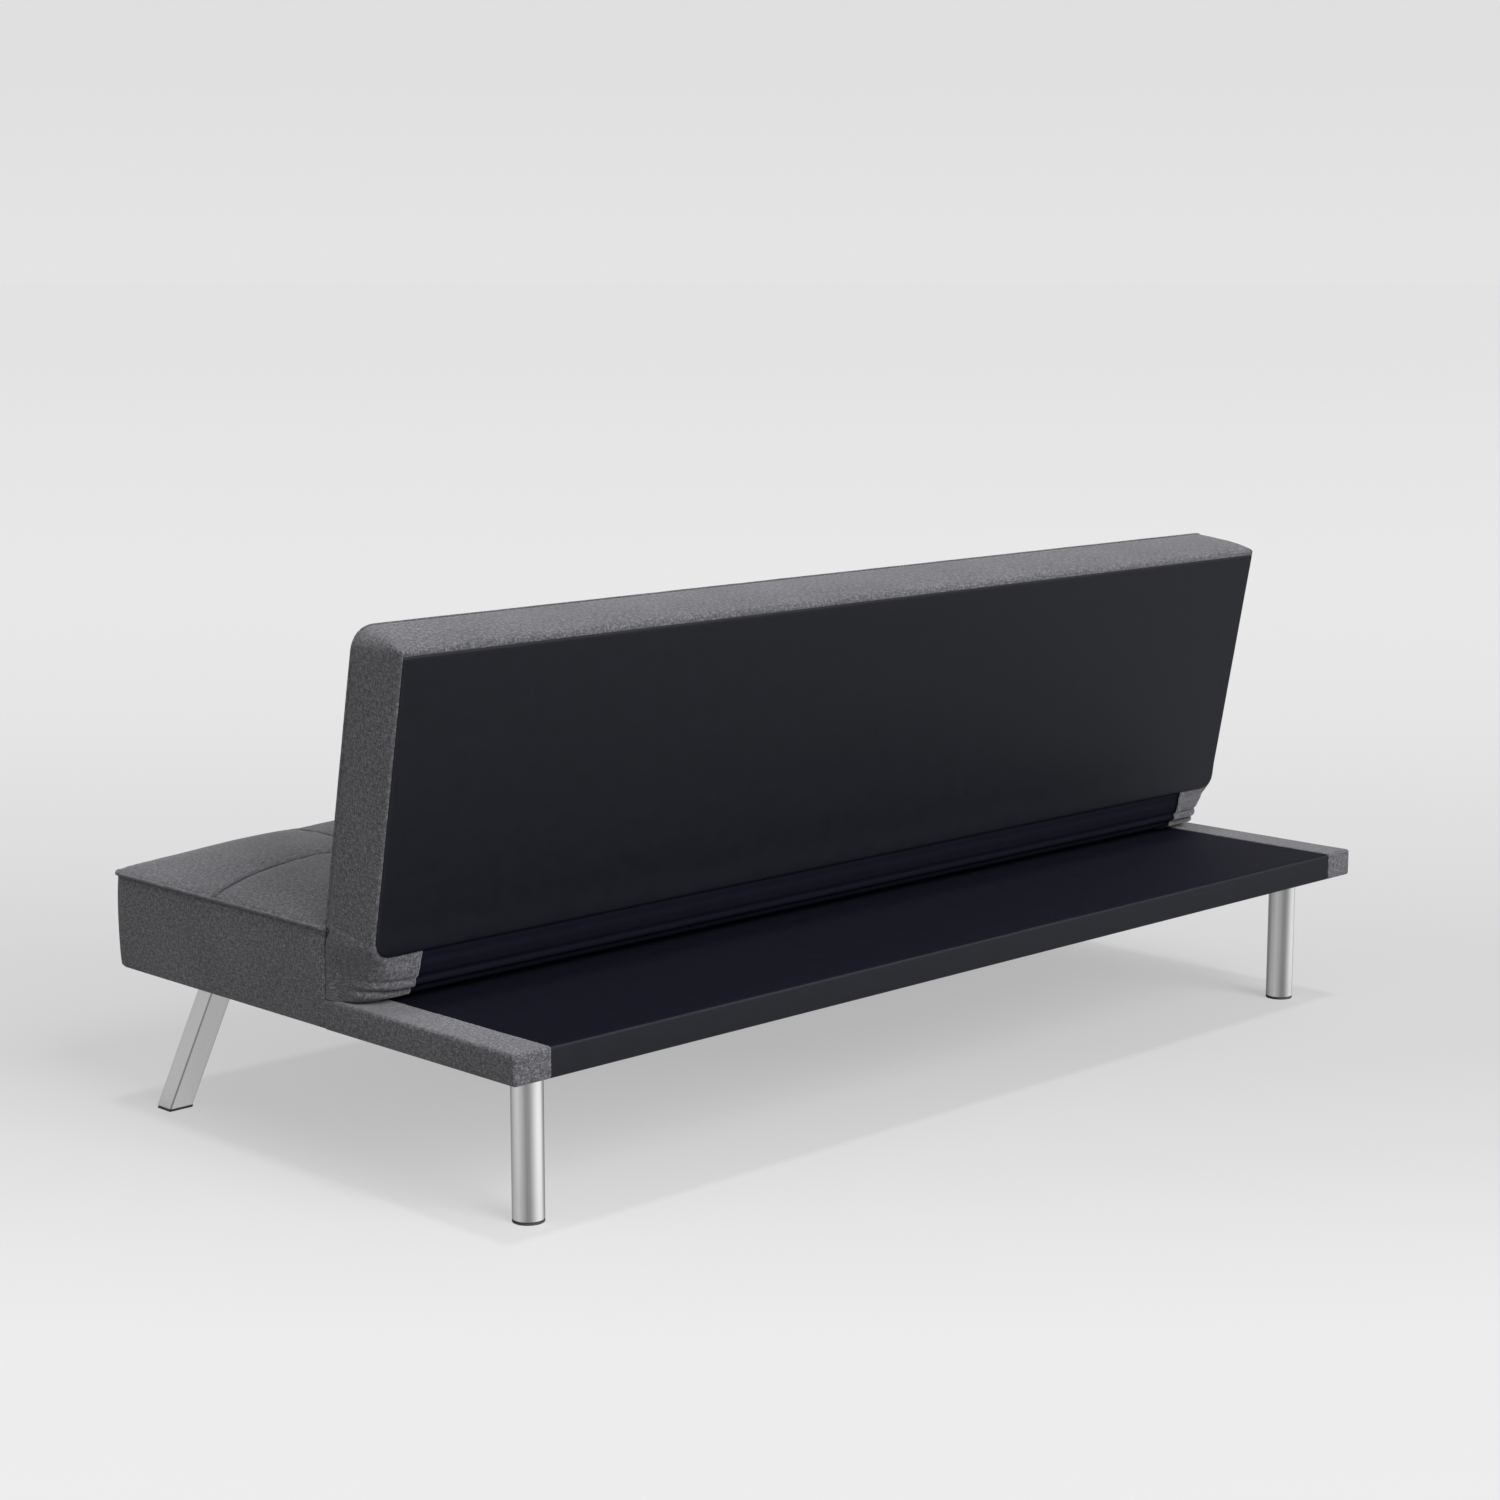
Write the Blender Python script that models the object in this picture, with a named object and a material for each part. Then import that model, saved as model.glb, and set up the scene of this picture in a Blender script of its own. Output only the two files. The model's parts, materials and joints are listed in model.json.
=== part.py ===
"""Armless click-clack sofa bed: a tufted seat box on a thin rear deck, and a backrest slab that
folds back onto the deck. Metres, +Z up, +X along the length (the sitter's left), front at -Y.
The origin lies on the floor, under the middle of the bounding box."""

import math

import bmesh
import bpy
from mathutils import Matrix, Vector

# ---- driving dimensions -------------------------------------------------------------------
HALF_LENGTH = 0.840            # half of the overall length
HALF_DEPTH = 0.416             # half of the base's depth
UNDERSIDE = 0.193              # bottom edge of the seat box and of the deck
DECK_TOP = 0.232
SEAT_REAR = 0.050              # rear wall of the seat box; the deck runs on behind it
SEAT_SEAM = 0.3185             # top of the seat's upright side walls
SEAT_CROWN = 0.360             # middle of the seat's top
PIVOT = Vector((0.0, 0.102, 0.284))
LEAN = math.radians(10.5)      # backrest's lean from upright in the sofa position
BACK_HALF_THICK = 0.050
BACK_BOTTOM = 0.0335           # heights above the hinge axis, measured along the slab
BACK_TOP = 0.417
BOOT_RADIUS = 0.046            # fabric boot round the hinge line
REAR_LEG = Vector((0.763, 0.347, 0.0))
REAR_LEG_RADIUS = 0.020
FRONT_FOOT = Vector((0.7964, -0.3500, 0.0))
FRONT_LEG_HALF = (0.0180, 0.0147)
FRONT_LEG_SLOPE = (-0.168, 0.382)   # sideways and rearward travel for each metre of rise

# ---- materials' thicknesses and small clearances ------------------------------------------
GAP = 0.0003
SKIN = 0.0015                  # cover fabric
TUBE_WALL = 0.0015
PLATE = 0.0030                 # hinge plates
RAIL = 0.025                   # thickness of the front and rear rails
SIDE_RAIL = 0.030
RAIL_BEVEL = 0.0165            # front rail's lower edge, which the cover rounds over
LEG_CAP = 0.003                # plate welded across the top of a leg
PAD = 0.003                    # foot pad under a leg
DRILL_LEAD = 0.004             # how far before its face a drilled hole starts
HOLE_SIDES = 12
ROUND_SIDES = 28
WEB = 0.002                    # elastic webbing
STRAP_HALF = 0.025             # half a strap's width
STRAP_X = [side * 0.17 * i for i in range(1, 5) for side in (-1, 1)]

# ---- levels worked out from the above -----------------------------------------------------
LINING = (UNDERSIDE + 0.0002, UNDERSIDE + 0.0020)
RAILS = (LINING[1] + GAP, 0.2222)
RISERS = (RAILS[1] + GAP, 0.2490)
DECK_BOARD = (RAILS[1] + GAP, DECK_TOP - SKIN - GAP)
WEB_Z = RISERS[1] + GAP
FELT = (WEB_Z + WEB + GAP, WEB_Z + WEB + 0.0018)
FOAM_BOTTOM = FELT[1] + GAP
INNER_X = HALF_LENGTH - SKIN - 0.0005   # outermost face of what sits inside a cover
INNER_Y = HALF_DEPTH - SKIN - 0.0010
SEAT_INNER_REAR = SEAT_REAR - SKIN - 0.0010
SIDE_RAIL_REACH = INNER_Y - 0.0195      # half length of the side rails, clear of the rounded corners
LEG_TOP = UNDERSIDE - GAP
BOLT_HEAD_Z = RAILS[1] - 0.0062

# ---- hinge stack along X, from the side rail inwards --------------------------------------
SIDE_RAIL_X = (INNER_X - SIDE_RAIL, INNER_X)
BRACKET_X = (0.8025, 0.8055)
RATCHET_X = (0.7985, 0.8020)
ARM_X = (0.7950, 0.7980)
PIN_X = (0.7922, 0.8084)
BOOT_GAP_X = (0.7890, 0.8110)  # the hinge works in this slot of the boot
STILE_X = (0.7983, 0.8330)
PIVOT_PIN = 0.0040
PAWL_PIN = 0.0030
LEG_BOLT = 0.0040
PAWL_PIVOT = Vector((0.0, 0.0760, 0.2555))
RATCHET_RADIUS = 0.0165
NOTCH_DEPTH = 0.0032
PAWL_NOSE = 0.0172             # nose's distance from the hinge axis, held clear of the ratchet
RECLINE_STEPS = (0.0, 30.0, 79.5)   # sofa, lounger and bed, in degrees back from the sofa position
FORWARD_TRAVEL = 7.0           # degrees forward that let the pawls go

SIDES = (("left", 1.0), ("right", -1.0))
FINISHES = {
    "grey_fabric": ((0.150, 0.150, 0.155), 0.95, 0.0),
    "black_lining": ((0.018, 0.019, 0.025), 0.70, 0.0),
    "satin_chrome": ((0.720, 0.720, 0.730), 0.22, 1.0),
    "zinc_steel": ((0.560, 0.560, 0.550), 0.40, 1.0),
    "pine": ((0.560, 0.370, 0.190), 0.70, 0.0),
    "plywood": ((0.450, 0.300, 0.160), 0.75, 0.0),
    "foam": ((0.800, 0.740, 0.520), 0.90, 0.0),
    "felt": ((0.220, 0.230, 0.240), 1.00, 0.0),
    "webbing": ((0.030, 0.030, 0.030), 0.85, 0.0),
    "black_rubber": ((0.012, 0.012, 0.012), 0.80, 0.0),
}


# ---- small kit ----------------------------------------------------------------------------
def finish_material(name):
    found = bpy.data.materials.get(name)
    if found:
        return found
    colour, roughness, metallic = FINISHES[name]
    made = bpy.data.materials.new(name)
    made.use_nodes = True
    shader = made.node_tree.nodes["Principled BSDF"]
    shader.inputs["Base Color"].default_value = (*colour, 1.0)
    shader.inputs["Roughness"].default_value = roughness
    shader.inputs["Metallic"].default_value = metallic
    return made


def add_object(name, bm, finish=None, parent=None, round_piece=False):
    """Turn a bmesh, in the parent's own coordinates, into a named object."""
    bmesh.ops.recalc_face_normals(bm, faces=bm.faces[:])
    mesh = bpy.data.meshes.new(name)
    bm.to_mesh(mesh)
    bm.free()
    if finish:
        mesh.materials.append(finish_material(finish))
    if round_piece:
        mesh.shade_smooth()
        mesh.set_sharp_from_angle(angle=math.radians(35))
    made = bpy.data.objects.new(name, mesh)
    bpy.context.scene.collection.objects.link(made)
    made.parent = parent
    return made


def add_axis(name, place, tilt=0.0):
    """An empty on a joint's axis; the pieces that turn about it are its children."""
    empty = bpy.data.objects.new(name, None)
    empty.location = place
    empty.rotation_euler = (tilt, 0.0, 0.0)
    empty.empty_display_size = 0.05
    bpy.context.scene.collection.objects.link(empty)
    return empty


def add_box(bm, low, high):
    low, high = Vector(low), Vector(high)
    matrix = Matrix.Translation((low + high) / 2) @ Matrix.Diagonal((*(high - low), 1.0))
    bmesh.ops.create_cube(bm, size=1.0, matrix=matrix)


def span(side, inner, outer):
    """An interval of |x| put on one side of the object, in rising order."""
    return tuple(sorted((side * inner, side * outer)))


def add_prism(bm, outline, x0, x1):
    """Extrude an outline of (y, z) points from x0 to x1."""
    near = [bm.verts.new((x0, y, z)) for y, z in outline]
    face = bm.faces.new(near)
    moved = bmesh.ops.extrude_face_region(bm, geom=[face])["geom"]
    far = [item for item in moved if isinstance(item, bmesh.types.BMVert)]
    bmesh.ops.translate(bm, verts=far, vec=(x1 - x0, 0.0, 0.0))


def bridge_rings(bm, rings, close_ends=True):
    """Join rings of points, which all have the same count, by faces."""
    loops = [[bm.verts.new(point) for point in ring] for ring in rings]
    count = len(loops[0])
    for lower, upper in zip(loops, loops[1:]):
        for i in range(count):
            j = (i + 1) % count
            bm.faces.new((lower[i], lower[j], upper[j], upper[i]))
    if close_ends:
        bm.faces.new(loops[0][::-1])
        bm.faces.new(loops[-1])
    return loops


def add_turned(bm, profile, matrix, sides):
    """Turn a profile of (radius, height) points about the matrix's local Z."""
    rings = []
    for radius, height in profile:
        turn = [2 * math.pi * i / sides for i in range(sides)]
        rings.append([matrix @ Vector((radius * math.cos(a), radius * math.sin(a), height)) for a in turn])
    bridge_rings(bm, rings)


def along(axis, place):
    """A matrix at a place whose local Z points along the axis."""
    return Matrix.Translation(place) @ Vector(axis).to_track_quat("Z", "Y").to_matrix().to_4x4()


def cut_away(target, cutter_bm):
    """Take a cutter's volume out of an object."""
    cutter = add_object(target.name + "_cutter", cutter_bm, parent=target.parent)
    cutter.hide_render = True
    cutter.display_type = "WIRE"
    boolean = target.modifiers.new("cut", "BOOLEAN")
    boolean.operation = "DIFFERENCE"
    boolean.solver = "EXACT"
    boolean.object = cutter


def drill(target, places, axis, radius, length):
    """Round holes that start just before each place and run along the axis."""
    bm = bmesh.new()
    for place in places:
        start = Vector(place) - Vector(axis) * DRILL_LEAD
        add_turned(bm, ((radius, 0.0), (radius, length + DRILL_LEAD)), along(axis, start), HOLE_SIDES)
    cut_away(target, bm)


def rounded_rectangle(x_half, low, high, low_radius, high_radius, steps=3):
    """Points (x, v) round a rectangle, x from -x_half to x_half and v from low to high."""
    corners = ((x_half - low_radius, low + low_radius, low_radius, -90),
               (x_half - high_radius, high - high_radius, high_radius, 0),
               (-x_half + high_radius, high - high_radius, high_radius, 90),
               (-x_half + low_radius, low + low_radius, low_radius, 180))
    points = []
    for cx, cv, radius, start in corners:
        for i in range(steps + 1):
            angle = math.radians(start + 90.0 * i / steps)
            points.append((cx + radius * math.cos(angle), cv + radius * math.sin(angle)))
    return points


def inset_rings(x_half, low, high, low_radius, high_radius, levels):
    """Rings (x, v, level); each level is (inset, level), and the corners tighten as they go in."""
    rings = []
    for inset, level in levels:
        outline = rounded_rectangle(x_half - inset, low + inset, high - inset,
                                    max(low_radius - inset, 0.002), max(high_radius - inset, 0.002))
        rings.append([(x, v, level) for x, v in outline])
    return rings


def add_web(name, v_straps, x_half, v_low, v_high, to_point, parent=None):
    """Straps both ways, woven into one flat net; v is the second direction."""
    x_cuts = sorted({-x_half, x_half} | {x + s * STRAP_HALF for x in STRAP_X for s in (-1, 1)})
    v_cuts = sorted({v_low, v_high} | {v + s * STRAP_HALF for v in v_straps for s in (-1, 1)})
    bm = bmesh.new()
    grid = {}
    for x0, x1 in zip(x_cuts, x_cuts[1:]):
        for v0, v1 in zip(v_cuts, v_cuts[1:]):
            along_v = any(abs((x0 + x1) / 2 - x) < STRAP_HALF for x in STRAP_X)
            along_x = any(abs((v0 + v1) / 2 - v) < STRAP_HALF for v in v_straps)
            if not (along_v or along_x):
                continue
            corners = ((x0, v0), (x1, v0), (x1, v1), (x0, v1))
            verts = [grid.setdefault(c, None) or bm.verts.new(to_point(*c)) for c in corners]
            grid.update(zip(corners, verts))
            bm.faces.new(verts)
    web = add_object(name, bm, "webbing", parent)
    band = web.modifiers.new("band", "SOLIDIFY")
    band.thickness = WEB
    band.offset = 0.0


def solidify_inwards(target, thickness):
    shell = target.modifiers.new("fabric", "SOLIDIFY")
    shell.thickness = thickness
    shell.offset = -1.0
    shell.use_even_offset = True


def bevel_edges(bm, chosen, width, segments):
    edges = [edge for edge in bm.edges if chosen(edge)]
    bmesh.ops.bevel(bm, geom=edges, offset=width, segments=segments, profile=0.5, affect="EDGES",
                    clamp_overlap=True)


def upright(edge):
    a, b = (vert.co for vert in edge.verts)
    return abs(a.x - b.x) < 1e-6 and abs(a.y - b.y) < 1e-6


# ---- base frame ---------------------------------------------------------------------------
STRETCHER_X = 0.28
BLOCK_HALF = (0.040, 0.038)


def leg_top_centre(side, front):
    if not front:
        return Vector((side * REAR_LEG.x, REAR_LEG.y, LEG_TOP))
    return front_leg_point(side, LEG_TOP)


def front_leg_point(side, height):
    x = FRONT_FOOT.x + FRONT_LEG_SLOPE[0] * height
    y = FRONT_FOOT.y + FRONT_LEG_SLOPE[1] * height
    return Vector((side * x, y, height))


def leg_name(side_name, front):
    return f"{'front' if front else 'rear'}_{side_name}"


def all_legs():
    return [(name, side, front) for name, side in SIDES for front in (True, False)]


def make_base_frame():
    inside_x = SIDE_RAIL_X[0] - GAP
    bottom, top = RAILS
    bm = bmesh.new()
    add_prism(bm, ((-INNER_Y, top), (-INNER_Y, bottom + RAIL_BEVEL), (-INNER_Y + RAIL_BEVEL, bottom),
                   (-INNER_Y + RAIL, bottom), (-INNER_Y + RAIL, top)), -inside_x, inside_x)
    add_object("base_front_rail", bm, "pine")
    bm = bmesh.new()
    add_box(bm, (-inside_x, INNER_Y - RAIL, bottom), (inside_x, INNER_Y, top))
    add_object("base_rear_rail", bm, "pine")
    for name, side in SIDES:
        x0, x1 = span(side, *SIDE_RAIL_X)
        bm = bmesh.new()
        add_box(bm, (x0, -SIDE_RAIL_REACH, RAILS[0]), (x1, SIDE_RAIL_REACH, RAILS[1]))
        add_object(f"base_side_rail_{name}", bm, "pine")
    inner_y = INNER_Y - RAIL - GAP
    for name, side in SIDES:
        x = side * STRETCHER_X
        bm = bmesh.new()
        add_box(bm, (x - 0.015, -inner_y, RAILS[0]), (x + 0.015, inner_y, RAILS[1]))
        add_object(f"base_stretcher_{name}", bm, "pine")
    make_corner_blocks()
    make_seat_risers(inside_x)


def make_corner_blocks():
    """The blocks that the legs bolt to, each counterbored for its bolt's head."""
    for name, side, front in all_legs():
        centre = leg_top_centre(side, front)
        half_x, half_y = BLOCK_HALF
        bm = bmesh.new()
        add_box(bm, (centre.x - half_x, centre.y - half_y, RAILS[0]),
                (centre.x + half_x, centre.y + half_y, RAILS[1]))
        block = add_object(f"corner_block_{leg_name(name, front)}", bm, "pine")
        hole = bmesh.new()
        profile = ((LEG_BOLT + 0.0005, RAILS[0] - 0.01), (LEG_BOLT + 0.0005, BOLT_HEAD_Z),
                   (0.0078, BOLT_HEAD_Z), (0.0078, RAILS[1] + 0.01))
        add_turned(hole, profile, Matrix.Translation((centre.x, centre.y, 0.0)), HOLE_SIDES)
        cut_away(block, hole)


def make_seat_risers(inside_x):
    rear = SEAT_INNER_REAR
    between = BRACKET_X[0] - 0.0005
    spans = {
        "seat_riser_front": ((-inside_x, -INNER_Y), (inside_x, -INNER_Y + RAIL)),
        "seat_riser_rear": ((-between, rear - RAIL), (between, rear)),
    }
    for name, ((x0, y0), (x1, y1)) in spans.items():
        bm = bmesh.new()
        add_box(bm, (x0, y0, RISERS[0]), (x1, y1, RISERS[1]))
        add_object(name, bm, "pine")
    for name, side in SIDES:
        x0, x1 = span(side, *SIDE_RAIL_X)
        bm = bmesh.new()
        add_box(bm, (x0, -SIDE_RAIL_REACH, RISERS[0]), (x1, rear, RISERS[1]))
        add_object(f"seat_riser_{name}", bm, "pine")


# ---- deck and underside -------------------------------------------------------------------
END_STRIP = 0.058              # width of the grey strip at each end of the deck


def hinge_slots(low_z, high_z):
    """Cutters for the slots that let the hinge brackets through the deck."""
    bm = bmesh.new()
    for _, side in SIDES:
        x0, x1 = span(side, BRACKET_X[0] - 0.001, BRACKET_X[1] + 0.001)
        add_box(bm, (x0, SEAT_REAR - 0.01, low_z), (x1, 0.088, high_z))
    return bm


def open_corner(bm, low, high, missing):
    """A box that lacks the faces whose outward normals are in missing."""
    add_box(bm, low, high)
    bm.normal_update()
    gone = [face for face in bm.faces if tuple(round(v) for v in face.normal) in missing]
    bmesh.ops.delete(bm, geom=gone, context="FACES_ONLY")


def make_deck():
    start = SEAT_REAR + GAP
    bm = bmesh.new()
    add_box(bm, (-INNER_X + 0.003, start, DECK_BOARD[0]), (INNER_X - 0.003, INNER_Y - 0.003, DECK_BOARD[1]))
    bevel_edges(bm, lambda e: upright(e) and e.verts[0].co.y > 0.3, 0.008, 2)
    board = add_object("deck_board", bm, "plywood")
    cut_away(board, hinge_slots(DECK_BOARD[0] - 0.01, DECK_BOARD[1] + 0.01))

    strip_x = HALF_LENGTH - END_STRIP
    bm = bmesh.new()
    open_corner(bm, (-strip_x + GAP, start, UNDERSIDE), (strip_x - GAP, HALF_DEPTH, DECK_TOP),
                {(0, 0, -1), (0, -1, 0), (1, 0, 0), (-1, 0, 0)})
    bevel_edges(bm, lambda e: len(e.link_faces) == 2, 0.005, 2)
    cover = add_object("deck_cover", bm, "black_lining")
    solidify_inwards(cover, SKIN)
    for name, side in SIDES:
        x0, x1 = span(side, strip_x, HALF_LENGTH)
        bm = bmesh.new()
        open_corner(bm, (x0, start, UNDERSIDE), (x1, HALF_DEPTH, DECK_TOP),
                    {(0, 0, -1), (0, -1, 0), (-side, 0, 0)})
        bevel_edges(bm, lambda e: len(e.link_faces) == 2, 0.005, 2)
        wrap = add_object(f"deck_end_wrap_{name}", bm, "grey_fabric")
        solidify_inwards(wrap, SKIN)
        cut_away(wrap, hinge_slots(DECK_TOP - 0.006, DECK_TOP + 0.01))

    bm = bmesh.new()
    add_box(bm, (-INNER_X + 0.002, -INNER_Y + 0.001, LINING[0]), (INNER_X - 0.002, INNER_Y, LINING[1]))
    bevel_edges(bm, lambda e: upright(e) and e.verts[0].co.y < 0, 0.022, 2)
    lining = add_object("bottom_lining", bm, "black_lining")
    holes = []
    for _, side, front in all_legs():
        centre = leg_top_centre(side, front)
        holes.append((centre.x, centre.y, LINING[0]))
    drill(lining, holes, (0, 0, 1), LEG_BOLT + 0.0005, 0.010)


# ---- seat ---------------------------------------------------------------------------------
SEAT_CORNER = 0.018
PIPING_LIFT = 0.0080           # piping's centre above the seat's side walls
PIPING_INSET = 0.0028


def add_piping(name, points, radius, parent=None):
    """A fabric cord along a closed run of points."""
    curve = bpy.data.curves.new(name, "CURVE")
    curve.dimensions = "3D"
    curve.bevel_depth = radius
    curve.bevel_resolution = 1
    spline = curve.splines.new("POLY")
    spline.points.add(len(points) - 1)
    for target, point in zip(spline.points, points):
        target.co = (*point, 1.0)
    spline.use_cyclic_u = True
    curve.materials.append(finish_material("grey_fabric"))
    made = bpy.data.objects.new(name, curve)
    bpy.context.scene.collection.objects.link(made)
    made.parent = parent


def make_suspension():
    add_web("seat_webbing", (-0.30, -0.18, -0.06), INNER_X - 0.002, -INNER_Y + 0.002, SEAT_INNER_REAR,
            lambda x, y: (x, y, WEB_Z + WEB / 2))
    bm = bmesh.new()
    edge_x, edge_y = INNER_X - 0.023, INNER_Y - 0.0085
    add_box(bm, (-edge_x, -edge_y, FELT[0]), (edge_x, SEAT_REAR - 0.005, FELT[1]))
    add_object("felt_pad", bm, "felt")


def seat_levels(inset, bottom):
    """The seat's section from its hem up to its crown, at a given depth under the cover's face."""
    return ((inset, bottom), (inset, SEAT_SEAM - inset * 0.6), (inset + 0.006, SEAT_SEAM + 0.006 - inset),
            (inset + 0.045, SEAT_CROWN - 0.008 - inset), (inset + 0.120, SEAT_CROWN - inset))


def seat_rings(inset, bottom):
    return inset_rings(HALF_LENGTH, -HALF_DEPTH, SEAT_REAR, SEAT_CORNER, 0.004,
                       seat_levels(inset, bottom))


def make_seat():
    bm = bmesh.new()
    bridge_rings(bm, seat_rings(SKIN + 0.0006, FOAM_BOTTOM))
    add_object("seat_foam", bm, "foam")
    bm = bmesh.new()
    loops = bridge_rings(bm, seat_rings(0.0, UNDERSIDE), close_ends=False)
    bm.faces.new(loops[-1])
    cover = add_object("seat_cover", bm, "grey_fabric")
    solidify_inwards(cover, SKIN)
    below = bmesh.new()
    add_box(below, (-INNER_X - 0.0003, SEAT_REAR - 0.020, UNDERSIDE - 0.01),
            (INNER_X + 0.0003, SEAT_REAR + 0.01, FOAM_BOTTOM - 0.0002))
    cut_away(cover, below)
    outline = rounded_rectangle(HALF_LENGTH - PIPING_INSET, -HALF_DEPTH + PIPING_INSET,
                                SEAT_REAR - PIPING_INSET, SEAT_CORNER - PIPING_INSET, 0.003)
    add_piping("seat_piping", [(x, y, SEAT_SEAM + PIPING_LIFT) for x, y in outline], 0.0025)


# ---- legs ---------------------------------------------------------------------------------
def rectangle_at(centre, half):
    hx, hy = half
    return [centre + Vector((dx * hx, dy * hy, 0)) for dx, dy in ((-1, -1), (1, -1), (1, 1), (-1, 1))]


def ring_tube(rings):
    """A tube-like solid: rings of points, the last one joined back to the first."""
    bm = bmesh.new()
    loops = bridge_rings(bm, rings, close_ends=False)
    count = len(loops[0])
    for i in range(count):
        j = (i + 1) % count
        bm.faces.new((loops[-1][i], loops[-1][j], loops[0][j], loops[0][i]))
    return bm


def make_rear_leg(name, side):
    """A round tube, open below, with a plate welded across its top."""
    place = Matrix.Translation((side * REAR_LEG.x, REAR_LEG.y, 0.0))
    outer, inner, hole = REAR_LEG_RADIUS, REAR_LEG_RADIUS - TUBE_WALL, LEG_BOLT + GAP
    low, under_cap = PAD + GAP, LEG_TOP - LEG_CAP
    turn = [2 * math.pi * i / ROUND_SIDES for i in range(ROUND_SIDES)]
    profile = ((outer, low), (outer, LEG_TOP), (hole, LEG_TOP), (hole, under_cap), (inner, under_cap),
               (inner, low))
    rings = [[place @ Vector((r * math.cos(a), r * math.sin(a), z)) for a in turn] for r, z in profile]
    add_object(f"rear_leg_{name}", ring_tube(rings), "satin_chrome", round_piece=True)
    bm = bmesh.new()
    profile = ((outer, 0.0), (outer, PAD), (inner - GAP, PAD), (inner - GAP, 0.014))
    add_turned(bm, profile, place, ROUND_SIDES)
    add_object(f"rear_foot_pad_{name}", bm, "black_rubber", round_piece=True)


def make_front_leg(name, side):
    """A raked rectangular tube, open below, with a plate welded across its top."""
    low, under_cap = PAD + GAP, LEG_TOP - LEG_CAP
    half = FRONT_LEG_HALF
    bore = tuple(h - TUBE_WALL for h in half)
    hole = (LEG_BOLT + GAP, LEG_BOLT + GAP)
    top = front_leg_point(side, LEG_TOP)
    rings = [rectangle_at(front_leg_point(side, low), half), rectangle_at(top, half),
             rectangle_at(top, hole), rectangle_at(top - Vector((0, 0, LEG_CAP)), hole),
             rectangle_at(front_leg_point(side, under_cap), bore),
             rectangle_at(front_leg_point(side, low), bore)]
    add_object(f"front_leg_{name}", ring_tube(rings), "satin_chrome")
    bm = bmesh.new()
    plug = tuple(h - GAP for h in bore)
    bridge_rings(bm, [rectangle_at(front_leg_point(side, z), h)
                      for h, z in ((half, 0.0), (half, PAD), (plug, PAD), (plug, 0.013))])
    add_object(f"front_foot_pad_{name}", bm, "black_rubber")


def make_leg_bolts():
    low = LEG_TOP - 0.015
    head = BOLT_HEAD_Z + GAP
    for name, side, front in all_legs():
        centre = leg_top_centre(side, front)
        bm = bmesh.new()
        profile = ((LEG_BOLT - 0.001, low), (LEG_BOLT, low + 0.001), (LEG_BOLT, head), (0.0070, head),
                   (0.0070, head + 0.004), (0.0055, head + 0.0052))
        add_turned(bm, profile, Matrix.Translation((centre.x, centre.y, 0.0)), HOLE_SIDES)
        add_object(f"leg_bolt_{leg_name(name, front)}", bm, "zinc_steel", round_piece=True)


# ---- hinges -------------------------------------------------------------------------------
def arc(centre, radius, start, stop, steps):
    """Points (y, z) on an arc, by angles in degrees from +Y towards +Z."""
    angles = [math.radians(start + (stop - start) * i / steps) for i in range(steps + 1)]
    return [(centre[0] + radius * math.cos(a), centre[1] + radius * math.sin(a)) for a in angles]


def pawl_nose():
    """The nose's place: there the line to the hinge axis is square to the pawl."""
    to_pawl = Vector((PAWL_PIVOT.y - PIVOT.y, PAWL_PIVOT.z - PIVOT.z))
    angle = math.atan2(to_pawl.y, to_pawl.x) + math.acos(PAWL_NOSE / to_pawl.length)
    return angle, Vector((PIVOT.y + PAWL_NOSE * math.cos(angle), PIVOT.z + PAWL_NOSE * math.sin(angle)))


def make_bracket(name, side):
    x0, x1 = span(side, *BRACKET_X)
    centre = (PIVOT.y, PIVOT.z)
    outline = [(-0.045, 0.199), (0.040, 0.199)]
    outline += arc(centre, 0.018, -50, 140, 9)
    outline += [(0.056, 0.2520), (0.0470, 0.2450), (-0.045, 0.2450)]
    bm = bmesh.new()
    add_prism(bm, outline, x0, x1)
    bracket = add_object(f"hinge_bracket_{name}", bm, "zinc_steel")
    cutters = bmesh.new()
    for pivot, pin in ((PIVOT, PIVOT_PIN), (PAWL_PIVOT, PAWL_PIN)):
        start = (side * (BRACKET_X[0] - DRILL_LEAD), pivot.y, pivot.z)
        add_turned(cutters, ((pin + GAP, 0.0), (pin + GAP, 0.012)), along((side, 0, 0), start),
                   HOLE_SIDES)
    cut_away(bracket, cutters)


def make_pins(name, side):
    """The riveted pins, each with a head either side of its stack of plates."""
    outer = (BRACKET_X[1] + GAP, PIN_X[1])
    stacks = (("hinge_pin", PIVOT, PIVOT_PIN, 0.0080, (PIN_X[0], ARM_X[0] - GAP)),
              ("pawl_pin", PAWL_PIVOT, PAWL_PIN, 0.0055, (RATCHET_X[0] - 0.0018, RATCHET_X[0] - GAP)))
    for kind, pivot, shank, head, inner in stacks:
        bm = bmesh.new()
        profile = ((head * 0.8, inner[0]), (head, inner[0] + 0.0005), (head, inner[1]), (shank, inner[1]),
                   (shank, outer[0]), (head, outer[0]), (head, outer[1] - 0.0008), (head * 0.8, outer[1]))
        add_turned(bm, profile, along((side, 0, 0), (0.0, pivot.y, pivot.z)), HOLE_SIDES)
        add_object(f"{kind}_{name}", bm, "zinc_steel", round_piece=True)


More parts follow.
